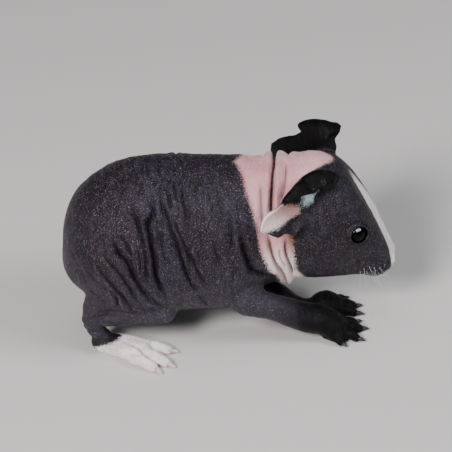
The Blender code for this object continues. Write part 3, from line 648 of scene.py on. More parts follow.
BODY_PULLS = [
    (("neck", "torso"), (16.9, 0.0, 19.5), (5.5, 19.0, 6.0), (0.2, 0.0, -3.9)),
    (("torso",), (-50.0, 0.0, 26.0), (8.0, 24.0, 11.0), (-1.9, 0.0, -0.4)),
    (("head",), (48.8, 0.0, 17.4), (6.0, 24.0, 5.0), (-1.6, 0.0, 2.3)),
    (("head",), (41.0, 0.0, 17.5), (9.0, 30.0, 6.0), (0.0, 0.0, 0.9)),
]


def mirrored(rows, side):
    """Rows with their y turned over where side is -1."""
    return rows * np.column_stack([np.ones(len(side)), side, np.ones(len(side))])


def as_ear(straight, side):
    """Points of the straight head seen from an ear's root: backwards along it, up it, and out from it."""
    away = mirrored(straight, side) - EAR_ROOT
    return away @ EAR_BACK, away @ EAR_UP, away @ EAR_OUT


def pulled(here, centre, radius, move):
    """How far each place moves with a soft pull at a centre."""
    away = np.linalg.norm((here - centre) / radius, axis=1)
    return (1 - smooth_step(away, 0.0, 1.0))[:, None] * np.array(move)


def body_pull(straight, owners):
    """How far each point of the straight body moves with all the pulls of the body."""
    moved = np.zeros(straight.shape)
    for words, centre, radius, move in BODY_PULLS:
        moved += pulled(straight, np.array(centre), np.array(radius), move) * on(owners, *words)[:, None]
    return moved


straight = straightened(points)
for node, pulls in EAR_PULLS.items():
    side = -1.0 if node == "ear_right" else 1.0
    near = on(owners, "ear", "head") & (straight[:, 1] * side > 0)
    here = np.column_stack(as_ear(straight[near], np.full(near.sum(), side)))
    moved = sum(pulled(here, np.array(centre), radius, move) for centre, radius, move in pulls)
    moved = (moved @ np.stack([EAR_BACK, EAR_UP, EAR_OUT])) * (1.0, side, 1.0)
    straight[near] += moved
points = turned(straight + diffuse(mesh, body_pull(straight, owners), 10, 0.5))

# Each foot is set on the floor, on its toes and sole.
for foot in FEET:
    part = on(owners, foot)
    z = points[part, 2]
    lowest = np.percentile(z, 2)
    points[part, 2] = np.maximum(z - (lowest + 0.02) * (1 - smooth_step(z, 0.6, 3.0)), 0.0)
write_points(mesh, points)
thin = skin.modifiers.new("fewer faces", "DECIMATE")
thin.ratio = SKIN_TRIANGLES / (2 * len(mesh.polygons))
mesh = made_plain(skin)
mesh.shade_smooth()
mesh.name = "skin"

# The markings, as distances in millimetres inside their edges, kept on the skin's points. The collar's two
# edges are x at an angle round the body, and the blaze is its half width at a height.
COLLAR_REAR = [(-90, 18.5), (-66, 16.2), (-37, 12.8), (-20, 10.7), (0, 9.0), (22, 8.7), (40, 7.8), (55, 6.5),
               (71, 5.6), (85, 4.1), (90, 3.2)]
COLLAR_FRONT = [(-90, 26.0), (-70, 24.5), (-46, 22.3), (-37, 20.4), (-6, 19.9), (9, 19.6), (40, 20.2),
                (60, 21.0), (68, 24.0), (76, 29.0), (83, 32.5), (90, 33.5)]
COLLAR_LEFT_SHIFTS = (0.8, 0.5)  # how much further on its two edges lie on the left side
BLAZE = [(52.0, 0.5), (49.5, 0.7), (47.8, 1.2), (44.6, 1.5), (41.5, 1.9), (38.1, 2.3), (34.8, 2.8),
         (31.4, 3.3), (28.2, 4.1), (26.4, 4.6), (24.9, 5.2), (23.3, 5.9), (21.4, 6.3), (19.5, 6.0),
         (17.8, 5.0), (16.5, 3.8)]
BLAZE_FAR_SIDE = 3.0  # how much further the blaze reaches on the left side of the bridge of the nose
BLAZE_TOP_X, BLAZE_NOSE_X, BLAZE_LOW_Z = 38.0, 45.2, 16.6
WHITE_FOOT_FROM = 1.9
NOWHERE = -5.0  # the mark of a place far outside a marking

points, normals = read_points(mesh), read_normals(mesh)
owners = nearest_nodes(points)
straight = straightened(points)
on_head, ears, body = on(owners, "head"), on(owners, "ear"), on(owners, "torso", "neck")
x, y, z = straight.T
angle = np.degrees(np.arctan2(z - AXIS_Z, np.abs(y)))
rear_shift, front_shift = (np.where(y > 0, shift, 0.0) for shift in COLLAR_LEFT_SHIFTS)
rear = np.interp(angle, *np.array(COLLAR_REAR).T) + rear_shift
front = np.interp(angle, *np.array(COLLAR_FRONT).T)
collar = np.minimum(x - rear, front + front_shift - x)
collar[~(body | on_head)] = NOWHERE
half = np.interp(-z, -np.array(BLAZE)[:, 0], np.array(BLAZE)[:, 1])
ends = np.minimum.reduce([(x - BLAZE_TOP_X) * 0.4, x - BLAZE_NOSE_X + (z - 20.0) * 2.0, z - BLAZE_LOW_Z])
far_side = BLAZE_FAR_SIDE * smooth_step(z, 26.0, 38.0) * (y > 0)
blaze = np.minimum(half + far_side - np.abs(y), ends) * 1.7 - 1.1 * smooth_step(z, 41.0, 47.5)
blaze[~on_head] = NOWHERE
white = np.full(len(points), NOWHERE)
for node in ("hind_foot_left", "hind_foot_right"):
    part = on(owners, node)
    here = as_foot(points[part], *FEET[node][1:])
    white[part] = (here[:, 0] - WHITE_FOOT_FROM - 2.3 * np.maximum(here[:, 2] - 3.2, -0.6)) * 0.7

# Folds, grooves and the lines between the toes get painted shade inside. Those of the face were cut before
# the muzzle was pulled, so its points are taken back there first.
toes = toe_gaps(points, owners)
shade = np.zeros(len(points))
shade[body] = body_folds(straight[body])[1]
before = straight[on_head]
for _ in range(UNBEND_ROUNDS):
    before = straight[on_head] - body_pull(before, owners[on_head])
shade[on_head] = face_grooves(before)[1]
shade = np.maximum(shade, 0.28 * toes)

# The ear's pale lobe, and the hollow of its inner face, which is painted pale and bluish with painted sky
# light.
side = np.where(points[ears, 1] < 0, -1.0, 1.0)
back, up, out = as_ear(straight[ears], side)
inner = mirrored(normals[ears], side) @ EAR_OUT
edge = 1.2 + np.minimum(back - 8.7, 9.0) * 0.72 - up + 4.0 * smooth_step(back, 16.0, 19.0)
rim = up + 1.5 - np.maximum(0.0, back - 17.0) * 0.3
seen = (inner + 0.55 * smooth_step(up + 0.35 * (back - 14.0), 1.5, 4.0)) * 6.0
lobe, sky_lit_hollow = np.full(len(points), NOWHERE), np.full(len(points), NOWHERE)
lobe[ears] = np.minimum.reduce([edge * 0.8, rim, back - 7.8, seen, 2.2 - out])
sky_lit_hollow[ears] = 0.6 * np.minimum.reduce([up - 0.8, 6.4 - up, 5.6 - back, back - 1.8, 0.7 - out,
                                        (inner - 0.05) * 6.0])
lobe_flush, ear_gloom = np.zeros(len(points)), np.zeros(len(points))
flush = 0.30 + 0.65 * (1 - smooth_step(back - 0.8 * up, 10.0, 20.0))
lobe_flush[ears] = np.where(lobe[ears] > -2, flush, 0.0)
ear_gloom[ears] = 0.35 + 0.65 * smooth_step(up, -2.5, 0.5)
# Pale where the markings are, and in the ear's hollow, where it is painted sky light.
pale = np.maximum.reduce([collar, blaze, white, lobe, sky_lit_hollow])

# Blackest on ears and forepaws; flesh-coloured on the collar, toes and nose; tan along the collar's front
# edge and in the lobe; and wet at the lids and nose.
gloom = np.select(
    [ears, on(owners, "forepaw"), on_head, on(owners, "hind_foot"), on(owners, "foreleg")],
    [ear_gloom, 1.0, 0.25, 0.7, 0.95 * smooth_step(x, 8.0, 24.0)], 0.0)
gloom = diffuse(mesh, gloom, 12, 0.6)
nose = np.linalg.norm((np.abs(straight) - NOSE_PAD) * (0.4, 1.0, 1.1), axis=1)
nose = (1 - smooth_step(nose, 1.3, 2.4)) * on_head
fleshy = smooth_step(collar, -4.0, -2.0) * (1 - 0.58 * smooth_step(-angle, -2.0, 28.0))
fleshy = diffuse(mesh, np.maximum(fleshy, lobe_flush), 3, 0.5)
fleshy = np.maximum.reduce([fleshy, toes, nose])
tan = bell(front - x - 0.5, 1.3) * (1 - smooth_step(angle, 8.0, 22.0))
tan = np.where(ears, 0.50 * smooth_step(lobe_flush, 0.45, 0.95), tan * (body | on_head))
eye_away = [np.linalg.norm(points - (eye - DRAWING), axis=1) for eye in EYE_PLACE.values()]
wet = 1 - smooth_step(np.min(eye_away, axis=0), EYE_RADIUS + 0.5, EYE_RADIUS + 1.1)


def keep_on_points(mesh, name, values):
    """Keeps a number on each point of a mesh."""
    layer = mesh.attributes.new(name, "FLOAT", "POINT")
    layer.data.foreach_set("value", values.astype(np.float32))


# These include the painted shade of folds and grooves, and the painted sky light of the ear's hollow.
for name, values in (
    ("wet", np.maximum(wet, 0.7 * nose)), ("tan", tan), ("painted_sky_light", smooth_step(sky_lit_hollow, -1.5, -0.5)),
    ("gloom", gloom), ("fleshy", fleshy), ("pale", pale), ("painted_shade", shade),
):
    keep_on_points(mesh, name, values)


def add(tree, kind, inputs=None, out=0, **settings):
    """A new node's output. An input is given another node's output, or else a number, colour or name."""
    made = tree.nodes.new(kind)
    for name, value in settings.items():
        setattr(made, name, value)
    for name, value in (inputs or {}).items():
        if isinstance(value, bpy.types.NodeSocket):
            tree.links.new(value, made.inputs[name])
        else:
            made.inputs[name].default_value = value
    return made.outputs[out]


def rescaled(tree, value, low, high, to_low=0.0, to_high=1.0, kind="SMOOTHSTEP"):
    """A value that runs from to_low to to_high while the given one runs from low to high."""
    return add(tree, "ShaderNodeMapRange", {"Value": value, "From Min": low, "From Max": high,
                                            "To Min": to_low, "To Max": to_high}, interpolation_type=kind)


def noise(tree, place, size_mm, detail=2.0, roughness=0.5):
    """Noise from 0 to 1 whose lumps are about so many millimetres across."""
    return add(tree, "ShaderNodeTexNoise", {"Vector": place, "Scale": 1000.0 / size_mm, "Detail": detail,
                                            "Roughness": roughness})


def maths(tree, operation, a, b):
    """One sum or product."""
    return add(tree, "ShaderNodeMath", {0: a, 1: b}, operation=operation)


def mark(tree, name):
    """A number that is kept on the piece's points."""
    return add(tree, "ShaderNodeAttribute", out="Fac", attribute_name=name)


def object_place(tree):
    """Where a point of the piece is, in metres."""
    return add(tree, "ShaderNodeTexCoord", out="Object")


def blended(tree, factor, a, b):
    """Colour a where the factor is 0, and b where it is 1."""
    return add(tree, "ShaderNodeMix", {0: factor, 6: a, 7: b}, out=2, data_type="RGBA")


# Black skin: worn paler in broad patches, with painted sheen low down and a painted glint in each pore.
BLACK_SKIN = (0.0065, 0.0042, 0.0075, 1.0)
BLACK_SKIN_WORN = (0.022, 0.0185, 0.0310, 1.0)
BLACK_BROWN = (0.017, 0.0100, 0.0140, 1.0)
# painted glints, one in each pore
BLACK_PAINTED_GLINT = (0.130, 0.112, 0.138, 1.0)
# painted shade for the folds and grooves of the black skin
BLACK_PAINTED_SHADE = (0.001, 0.0008, 0.001, 1.0)
BLACK_PAINTED_SHEEN_LOW = (0.036, 0.0310, 0.0430, 1.0)  # painted sheen that makes the belly, jaw and limbs paler
BLACKEST = (0.0022, 0.0017, 0.0021, 1.0)  # the ears and forepaws
PINK_SKIN = (0.56, 0.250, 0.270, 1.0)
PINK_SKIN_PALE = (0.71, 0.41, 0.42, 1.0)
WHITE_SKIN = (0.94, 0.87, 0.84, 1.0)
TAN_SKIN = (0.30, 0.16, 0.11, 1.0)
# painted sky light in the ear's hollow
PAINTED_SKY_BLUE = (0.52, 0.66, 0.70, 1.0)
# painted shade for the folds and grooves of the pink skin
RED_PAINTED_SHADE = (0.045, 0.008, 0.008, 1.0)
VELVET_FROM = 0.8  # the gloom of the ears and forepaws, where the skin is dull as velvet

skin_paint, tree, shader = new_paint("bare skin", {"Specular IOR Level": 0.20})
place = object_place(tree)
painted_shade_mark = mark(tree, "painted_shade")
fine = noise(tree, place, 0.36, 1.0, 0.6)
drawn_out = add(tree, "ShaderNodeMapping", {"Vector": place, "Scale": (1.0, 0.4, 0.4)})
middle = noise(tree, drawn_out, 1.7, 3.0, 0.6)
broad = noise(tree, place, 14.0, 2.0)
ragged = maths(tree, "ADD", mark(tree, "pale"), rescaled(tree, fine, 0.25, 0.75, -0.9, 0.9, "LINEAR"))
pale_share = rescaled(tree, ragged, -1.0, 0.8)
worn = blended(tree, rescaled(tree, broad, 0.42, 0.60), BLACK_BROWN, BLACK_SKIN_WORN)
black = blended(tree, rescaled(tree, middle, 0.35, 0.68), BLACK_SKIN, worn)
height = add(tree, "ShaderNodeSeparateXYZ", {"Vector": place}, out="Z")
# Painted sheen: the skin is painted paler low down.
black = blended(tree, rescaled(tree, height, 0.046, 0.010, -0.1, 0.60), black, BLACK_PAINTED_SHEEN_LOW)
# Painted glints in the pores.
black = blended(tree, rescaled(tree, fine, 0.57, 0.74), black, BLACK_PAINTED_GLINT)
black = blended(tree, mark(tree, "gloom"), black, BLACKEST)
# Painted shade in the folds and grooves.
black = blended(tree, painted_shade_mark, black, BLACK_PAINTED_SHADE)
pink = blended(tree, rescaled(tree, broad, 0.3, 0.7), PINK_SKIN, PINK_SKIN_PALE)
pink = blended(tree, mark(tree, "tan"), pink, TAN_SKIN)
pink = blended(tree, mark(tree, "fleshy"), WHITE_SKIN, pink)
# Painted shade in the folds and grooves, dark red on the pink skin.
pink = blended(tree, painted_shade_mark, pink, RED_PAINTED_SHADE)
# Painted sky light: the ear's hollow is painted bluish.
pink = blended(tree, mark(tree, "painted_sky_light"), pink, PAINTED_SKY_BLUE)
colour = blended(tree, pale_share, black, pink)
tree.links.new(colour, shader.inputs["Base Color"])
roughness = rescaled(tree, mark(tree, "wet"), 0.0, 1.0, 0.42, 0.14, "LINEAR")
tree.links.new(roughness, shader.inputs["Roughness"])
bump_height = maths(tree, "ADD", fine, rescaled(tree, middle, 0.3, 0.7, 0.0, 0.9, "LINEAR"))
bump = add(tree, "ShaderNodeBump", {"Height": bump_height, "Strength": 0.75, "Distance": 0.0004})
tree.links.new(bump, shader.inputs["Normal"])
velvet_paint = skin_paint.copy()
velvet_paint.name = "velvet skin"
velvet_paint.node_tree.nodes["Principled BSDF"].inputs["Specular IOR Level"].default_value = 0.11
mesh.materials.clear()
mesh.materials.append(skin_paint)
mesh.materials.append(velvet_paint)
for face in mesh.polygons:
    face.material_index = int(gloom[face.vertices[0]] > VELVET_FROM)
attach(skin, "root")
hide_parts(*FLESH)

# THE EYES. Two wet, nearly black balls that bulge from the sides of the head, where the lids hold them.
# Each is one smooth ball in its socket, glossy with tears.
eye_paint, _, _ = new_paint("wet eye", {"Base Color": (0.0012, 0.0008, 0.0010, 1.0), "Roughness": 0.05,
                                        "Specular IOR Level": 0.08})
for word, centre in EYE_PLACE.items():
    ball = bmesh.new()
    bmesh.ops.create_uvsphere(ball, u_segments=48, v_segments=32, radius=EYE_RADIUS * MM)
    bmesh.ops.translate(ball, verts=ball.verts, vec=Vector(centre * MM))
    eye_mesh = bpy.data.meshes.new(f"wet_eye_{word}")
    ball.to_mesh(eye_mesh)
    ball.free()
    eye_mesh.shade_smooth()
    eye_mesh.materials.append(eye_paint)
    eye = placed(f"wet_eye_{word}", eye_mesh)
    only_eyes.objects.link(eye)
    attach(eye, "root")
    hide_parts(f"eye_{word}")

# THE CLAWS. One curved, blunt claw at the end of each toe, horn that grows out of it, black on the
# forepaws and pinkish on the hind feet. Each is one tapered tube, set in the toe's round end.
CLAW_SIDES = 10
CLAW_STEPS = 9
CLAW_ARCH = 0.22
CLAW_WIDTHS = [0.66, 0.66, 0.44, 0.10]
CLAW_FROM, CLAW_BEYOND = 0.5, 0.25  # it starts this far past the toe's tip, and ends this far past its own


def grow(thing, tree, sizes):
    """Runs a tree of geometry nodes on an object and keeps its result as a plain mesh."""
    modifier = thing.modifiers.new(tree.name, "NODES")
    modifier.node_group = tree
    for item in tree.interface.items_tree:
        if item.item_type == "SOCKET" and item.in_out == "INPUT" and item.name in sizes:
            modifier[item.identifier] = sizes[item.name]
    made_plain(thing)


def new_tree(name, inputs):
    """An empty tree of geometry nodes with its named inputs."""
    tree = bpy.data.node_groups.new(name, "GeometryNodeTree")
    tree.interface.new_socket("Geometry", in_out="INPUT", socket_type="NodeSocketGeometry")
    for label, kind in inputs.items():
        tree.interface.new_socket(label, in_out="INPUT", socket_type="NodeSocket" + kind)
    tree.interface.new_socket("Geometry", in_out="OUTPUT", socket_type="NodeSocketGeometry")
    return tree, tree.nodes.new("NodeGroupInput").outputs


def finished(tree, geometry, paint):
    """Ends a tree with its instances made real and its material."""
    real = add(tree, "GeometryNodeRealizeInstances", {"Geometry": geometry})
    painted = add(tree, "GeometryNodeSetMaterial", {"Geometry": real, "Material": paint})
    tree.links.new(painted, tree.nodes.new("NodeGroupOutput").inputs[0])


def strand_tree(name):
    """Tapered tubes along lines of points, as thick as each point says."""
    tree, given = new_tree(name, {"Sides": "Int", "Steps": "Int", "Paint": "Material"})
    curve = add(tree, "GeometryNodeMeshToCurve", {"Mesh": given["Geometry"]})
    curve = add(tree, "GeometryNodeCurveSplineType", {"Curve": curve}, spline_type="CATMULL_ROM")
    curve = add(tree, "GeometryNodeResampleCurve", {"Curve": curve, "Count": given["Steps"]})
    width = add(tree, "GeometryNodeInputNamedAttribute", {"Name": "width"}, data_type="FLOAT")
    ring = add(tree, "GeometryNodeCurvePrimitiveCircle", {"Resolution": given["Sides"], "Radius": MM})
    tube = add(tree, "GeometryNodeCurveToMesh", {"Curve": curve, "Profile Curve": ring, "Scale": width,
                                                 "Fill Caps": True})
    smooth = add(tree, "GeometryNodeSetShadeSmooth", {"Geometry": tube})
    finished(tree, smooth, given["Paint"])
    return tree


def lines_object(name, lines, widths):
    """An object of lines of points of the drawing, each with its widths in millimetres."""
    line_mesh = bpy.data.meshes.new(name)
    count = len(lines[0])
    edges = [(k * count + j, k * count + j + 1) for k in range(len(lines)) for j in range(count - 1)]
    points = (np.concatenate(lines) + DRAWING) * MM
    line_mesh.from_pydata([tuple(p) for p in points], edges, [])
    keep_on_points(line_mesh, "width", np.concatenate(widths))
    return placed(name, line_mesh)


def horn(name, dark, light, roughness):
    """Claw horn, streaked from dark to light, with fine ridges."""
    paint, tree, shader = new_paint(name, {"Roughness": roughness})
    streaks = noise(tree, object_place(tree), 0.5, 3.0)
    colour = blended(tree, rescaled(tree, streaks, 0.35, 0.65), dark, light)
    tree.links.new(colour, shader.inputs["Base Color"])
    bump = add(tree, "ShaderNodeBump", {"Height": streaks, "Strength": 0.25, "Distance": 0.0001})
    tree.links.new(bump, shader.inputs["Normal"])
    return paint


black_horn = horn("black horn", (0.006, 0.005, 0.006, 1.0), (0.022, 0.019, 0.020, 1.0), 0.42)
pink_horn = horn("pink horn", (0.62, 0.36, 0.32, 1.0), (0.72, 0.55, 0.47, 1.0), 0.34)
claw_tree = strand_tree("claw tubes")
for foot, (kind, *foot_place) in FEET.items():
    lines = []
    for tip, claw_tip in TOES[kind]:
        tip = np.array(tip)
        ahead = unit(claw_tip - tip)
        knuckle, end = tip + ahead * CLAW_FROM, claw_tip + ahead * CLAW_BEYOND
        arch = np.array((0.0, 0.0, CLAW_ARCH))
        drawn = [knuckle, knuckle * 0.6 + end * 0.4 + arch, knuckle * 0.25 + end * 0.75 + arch * 0.7, end]
        lines.append(from_foot(np.array(drawn), *foot_place))
    claws = lines_object(f"claws_{foot}", lines, [CLAW_WIDTHS] * len(lines))
    paint = pink_horn if kind == "hind" else black_horn
    grow(claws, claw_tree, {"Sides": CLAW_SIDES, "Steps": CLAW_STEPS, "Paint": paint})
    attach(claws, "root")

# THE COAT. Sparse, soft fuzz, up to half a millimetre long, over the whole skin, dark on black and white on
# pink. Each hair is a thin cone rooted in the skin, lying back along the body.


def unwrapped(mesh):
    """A place on a flat unwrap of the skin for each corner of its triangles."""
    bpy.context.view_layer.objects.active = skin
    skin.select_set(True)
    bpy.ops.object.mode_set(mode="EDIT")
    bpy.ops.mesh.select_all(action="SELECT")
    bpy.ops.uv.smart_project(angle_limit=math.radians(66), island_margin=0.002)
    bpy.ops.object.mode_set(mode="OBJECT")
    skin.select_set(False)
    layer = mesh.uv_layers.active
    places = np.empty(len(mesh.loops) * 2, np.float32)
    layer.uv.foreach_get("vector", places)
    mesh.uv_layers.remove(layer)
    return places.reshape(-1, 2)


def triangle_corners(mesh, name):
    """The three points, or corners of faces, of each triangle."""
    values = np.empty(len(mesh.loop_triangles) * 3, np.int32)
    mesh.loop_triangles.foreach_get(name, values)
    return values.reshape(-1, 3)


flat_places = unwrapped(mesh)
mesh.calc_loop_triangles()
corner_points, corner_loops = triangle_corners(mesh, "vertices"), triangle_corners(mesh, "loops")
skin_points, skin_normals = read_points(mesh), read_normals(mesh)
a, b, c = (skin_points[corner_points[:, k]] for k in range(3))
triangle_areas = np.linalg.norm(np.cross(b - a, c - a), axis=1) / 2


def rooted(count, weight, seed):
    """Seeded random roots on the skin, set thickest where weight is high: a mean of any value kept on its
    points, and a mean of the unwrap's places."""
    draw = np.random.default_rng(seed)
    chance = np.cumsum(triangle_areas * weight[corner_points].mean(axis=1))
    chosen = np.searchsorted(chance, draw.random(count) * chance[-1])
    u, v = draw.random(count), draw.random(count)
    u, v = np.where(u + v > 1, 1 - u, u), np.where(u + v > 1, 1 - v, v)
    shares = np.stack([1 - u - v, u, v], axis=-1)

    def mean_of(values, corners=corner_points):
        picked = values[corners[chosen]]
        return (picked * shares.reshape(shares.shape + (1,) * (picked.ndim - 2))).sum(axis=1)

    return mean_of, mean_of(flat_places, corner_loops), draw


def unit_rows(vectors):
    """Rows each made one long."""
    return vectors / np.maximum(np.linalg.norm(vectors, axis=1), 1e-9)[:, None]


UNWRAP_PATCH = 0.003  # how much of the skin's unwrap each hair takes up


def coat_tree():
    """A bent cone on every point, as long and thick as the point says, lying the way it says."""
    tree, given = new_tree("coat of hairs", {"Steps": "Int", "Bend": "Float", "Paint": "Material"})

    def named(name):
        return add(tree, "GeometryNodeInputNamedAttribute", {"Name": name}, data_type="FLOAT_VECTOR")

    cone = add(tree, "GeometryNodeMeshCone", {"Vertices": 3, "Side Segments": given["Steps"],
                                              "Radius Top": 0.0, "Radius Bottom": 1.0, "Depth": 1.0},
               fill_type="NONE")
    where = add(tree, "GeometryNodeInputPosition")
    height = add(tree, "ShaderNodeSeparateXYZ", {"Vector": where}, out="Z")
    lean = maths(tree, "MULTIPLY", maths(tree, "MULTIPLY", height, height), given["Bend"])
    offset = add(tree, "ShaderNodeCombineXYZ", {"X": lean})
    hair = add(tree, "GeometryNodeSetPosition", {"Geometry": cone, "Offset": offset})
    turn = add(tree, "FunctionNodeAlignRotationToVector", {"Vector": named("lie")}, axis="Z")
    turn = add(tree, "FunctionNodeAlignRotationToVector", {"Rotation": turn, "Vector": named("out")},
               axis="X", pivot_axis="Z")
    hairs = add(tree, "GeometryNodeInstanceOnPoints", {"Points": given["Geometry"], "Instance": hair,
                                                       "Rotation": turn, "Scale": named("size")})
    real = add(tree, "GeometryNodeRealizeInstances", {"Geometry": hairs})
    patch = add(tree, "ShaderNodeVectorMath", {0: cone.node.outputs["UV Map"], "Scale": UNWRAP_PATCH},
                operation="SCALE")
    flat = add(tree, "ShaderNodeVectorMath", {0: named("root_place"), 1: patch}, operation="ADD")
    kept = add(tree, "GeometryNodeStoreNamedAttribute", {"Geometry": real, "Name": "OFBake", "Value": flat},
               data_type="FLOAT2", domain="CORNER")
    finished(tree, kept, given["Paint"])
    return tree


hair_tree = coat_tree()
HAIR_DARK, HAIR_LIGHT = (0.006, 0.005, 0.0065, 1.0), (0.94, 0.91, 0.90, 1.0)
hair_paint, tree, shader = new_paint("fuzz", {"Roughness": 0.55, "Specular IOR Level": 0.08})
uneven = noise(tree, object_place(tree), 1.5)
tone = maths(tree, "MULTIPLY", mark(tree, "tone"), rescaled(tree, uneven, 0.3, 0.7, 0.75, 1.0))
tree.links.new(blended(tree, tone, HAIR_DARK, HAIR_LIGHT), shader.inputs["Base Color"])


def coat(name, mean_of, places, sizes, lie, lift, tones, steps, bend):
    """A piece of coat from its roots, hair sizes (thick, long), the way it lies, lift from the skin
    in degrees, tones from dark to light, and each hair's steps and bend."""
    roots, out = mean_of(skin_points), unit_rows(mean_of(skin_normals))
    along = unit_rows(lie - out * (lie * out).sum(axis=1)[:, None])
    lift = np.radians(lift)[:, None]
    points = bpy.data.meshes.new(name)
    thick, long = sizes
    roots = roots - out * (thick * 1.5)[:, None]
    points.from_pydata([tuple(p) for p in (roots + DRAWING) * MM], [], [])
    for label, values in (("lie", along * np.cos(lift) + out * np.sin(lift)), ("out", out),
                          ("size", np.stack([thick, thick, long], axis=-1) * MM),
                          ("root_place", np.column_stack([places, np.zeros(len(places))]))):
        layer = points.attributes.new(label, "FLOAT_VECTOR", "POINT")
        layer.data.foreach_set("vector", values.astype(np.float32).ravel())
    keep_on_points(points, "tone", tones)
    piece = placed(name, points)
    grow(piece, hair_tree, {"Steps": steps, "Bend": bend, "Paint": hair_paint})
    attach(piece, "root")


pale_weight = smooth_step(pale, -0.4, 0.8)
clear_of_eyes = np.ones(len(skin_points))
for away in eye_away:
    clear_of_eyes *= smooth_step(away, EYE_RADIUS + 0.5, EYE_RADIUS + 1.3)
haired = clear_of_eyes * (1 - 0.9 * shade) * (1 - 0.8 * nose)

# Each patch of fuzz: its name, the solids it covers, how many hairs, their seed, and the longest one. A part
# of the hairs on the black skin is bright and thick, which gives it its speckle.
BRIGHT_SHARE, BRIGHT_THICK, FUZZ_THICK = 0.18, 0.052, 0.031
for name, words, count, seed, longest in (
    ("fuzz_trunk", ("torso",), 60000, 11, 0.50),
    ("fuzz_head", ("neck", "head", "ear"), 52000, 12, 0.46),
    ("fuzz_legs", ("foreleg", "hind_leg", "forepaw", "hind_foot"), 17000, 13, 0.55),
):
    mean_of, places, draw = rooted(count, on(owners, *words) * haired * (1 - 0.6 * ears), seed)
    paleness = mean_of(pale_weight)
    long = longest * draw.uniform(0.4, 1.0, count) * (0.65 + 0.35 * paleness)
    lie = np.tile((-0.9, 0.0, -0.3), (count, 1)) + draw.normal(0.0, 0.4, (count, 3))
    bright = draw.random(count) < BRIGHT_SHARE
    tones = np.where(bright, draw.uniform(0.3, 1.0, count) ** 1.5, draw.uniform(0.0, 0.006, count))
    tones = tones * (1 - 0.7 * mean_of(gloom))
    tones = tones + (0.85 - tones) * paleness
    thick = np.where(bright & (paleness < 0.5), BRIGHT_THICK, FUZZ_THICK)
    coat(name, mean_of, places, (thick, long), lie, draw.uniform(20.0, 70.0, count), tones, 1, 0.0)

# THE HAIR OF THE FEET. White hairs lie forward over the hind feet to the claws, and black ones over the
# forepaws; they are the longest on the pup.
top_side = smooth_step(skin_normals[:, 2], -0.35, 0.35) * smooth_step(skin_points[:, 2], 0.2, 0.9)
top_side = top_side * (1 - 0.9 * toes)
white_hind_feet = on(owners, "hind_foot") * top_side * smooth_step(white, -1.5, 0.5)
for name, weight, count, seed, longest, thick, tone_range in (
    ("hair_hind_feet", white_hind_feet, 5200, 21, 2.6, 0.055, (0.55, 1.0)),
    ("hair_forepaws", on(owners, "forepaw") * top_side, 4200, 22, 1.7, 0.050, (0.0, 0.012)),
):
    mean_of, places, draw = rooted(count, weight, seed)
    shorter = 0.7 * mean_of(smooth_step(np.abs(white), 0.0, 5.0))  # away from the edge of the white
    long = longest * draw.uniform(0.5, 1.0, count) * (1.5 - shorter)
    forward = np.where(mean_of(skin_points)[:, 1:2] < 0, -1.0, 1.0)
    lie = np.hstack([np.ones((count, 1)), 0.45 * forward, np.full((count, 1), -0.25)])
    lie = lie + draw.normal(0.0, 0.16, (count, 3))
    tones = draw.uniform(*tone_range, count)
    coat(name, mean_of, places, (np.full(count, thick), long), lie, draw.uniform(6.0, 20.0, count), tones,
         3, -6.0)

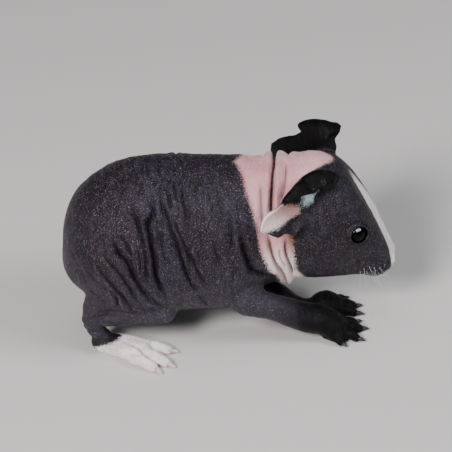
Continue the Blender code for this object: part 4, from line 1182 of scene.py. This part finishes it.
# THE FACE'S HAIR. Soft white hair stands on the lower blaze and round the nose, short black hair on the lips
# and chin, and stiff white whiskers grow in three rows from each side of the muzzle, set in the skin.
low_blaze = smooth_step(blaze, -0.5, 0.5) * (1 - smooth_step(straight[:, 2], 36.0, 50.0) * 0.7)
lips = smooth_step(straight[:, 0], 36.0, 44.0) * (1 - smooth_step(straight[:, 2], 22.0, 30.0))
beside_blaze = 1 - smooth_step(blaze, -0.8, 0.0)
for name, weight, count, seed, longest, thick, pale_tone in (
    ("hair_blaze", on_head * low_blaze * haired, 7000, 31, 0.70, 0.032, True),
    ("hair_lips", on_head * lips * haired * beside_blaze, 3600, 32, 0.9, 0.030, False),
):
    mean_of, places, draw = rooted(count, weight, seed)
    long = longest * draw.uniform(0.4, 1.0, count)
    side = np.clip(mean_of(straight)[:, 1] / 5.0, -1.0, 1.0)
    lie = np.column_stack([np.full(count, -0.5), 0.55 * side, np.full(count, 0.35 if pale_tone else -0.25)])
    lie = lie + draw.normal(0.0, 0.22, (count, 3))
    tones = draw.uniform(0.75, 1.0, count) if pale_tone else np.where(draw.random(count) < 0.08, 0.5, 0.01)
    coat(name, mean_of, places, (np.full(count, thick), long), lie, draw.uniform(15.0, 45.0, count), tones,
         2, -4.0)

# Where the whiskers grow on either side of the straight head, as x and z.
WHISKER_ROOTS = [(41.6, 23.4), (43.2, 23.9), (44.9, 23.2), (46.4, 22.8), (40.6, 21.8), (42.4, 21.9),
                 (44.2, 21.5), (45.9, 21.0), (47.3, 20.6), (41.5, 20.4), (43.4, 19.9), (45.2, 19.4),
                 (46.6, 19.0)]
WHISKER_WIDTHS = [0.034, 0.031, 0.024, 0.015, 0.006]
WHISKER_LONG = (2.4, 5.0)
WHISKER_DEEP = 0.25  # how far its root is set in the skin
whisker_paint, _, _ = new_paint("whisker", {"Base Color": (0.80, 0.77, 0.75, 1.0), "Roughness": 0.4})
skin_tree = BVHTree.FromPolygons([Vector(p) for p in skin_points], corner_points.tolist())
draw = np.random.default_rng(41)
lines = []
for side in (-1.0, 1.0):
    for x, z in WHISKER_ROOTS:
        start, aim = turned([(x, side * 25.0, z), (x, 0.0, z)])
        root, normal, _, _ = skin_tree.ray_cast(Vector(start), Vector(aim - start).normalized())
        long = draw.uniform(*WHISKER_LONG)
        # The further back a whisker grows, the further back it points.
        aim = np.array((0.35 - (45.0 - x) * 0.10, side * 0.75, -0.55)) + draw.normal(0.0, 0.20, 3)
        steps = np.linspace(0.0, 1.0, 5)[:, None]
        drop = np.array((0.15, 0.0, -0.9)) * steps**2
        sunk = np.array(root) - np.array(normal) * WHISKER_DEEP
        lines.append(sunk + (unit(aim) * steps + drop * 0.5) * long)
whiskers = lines_object("whiskers", lines, [WHISKER_WIDTHS] * len(lines))
grow(whiskers, strand_tree("whisker tubes"), {"Sides": 4, "Steps": 7, "Paint": whisker_paint})
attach(whiskers, "root")
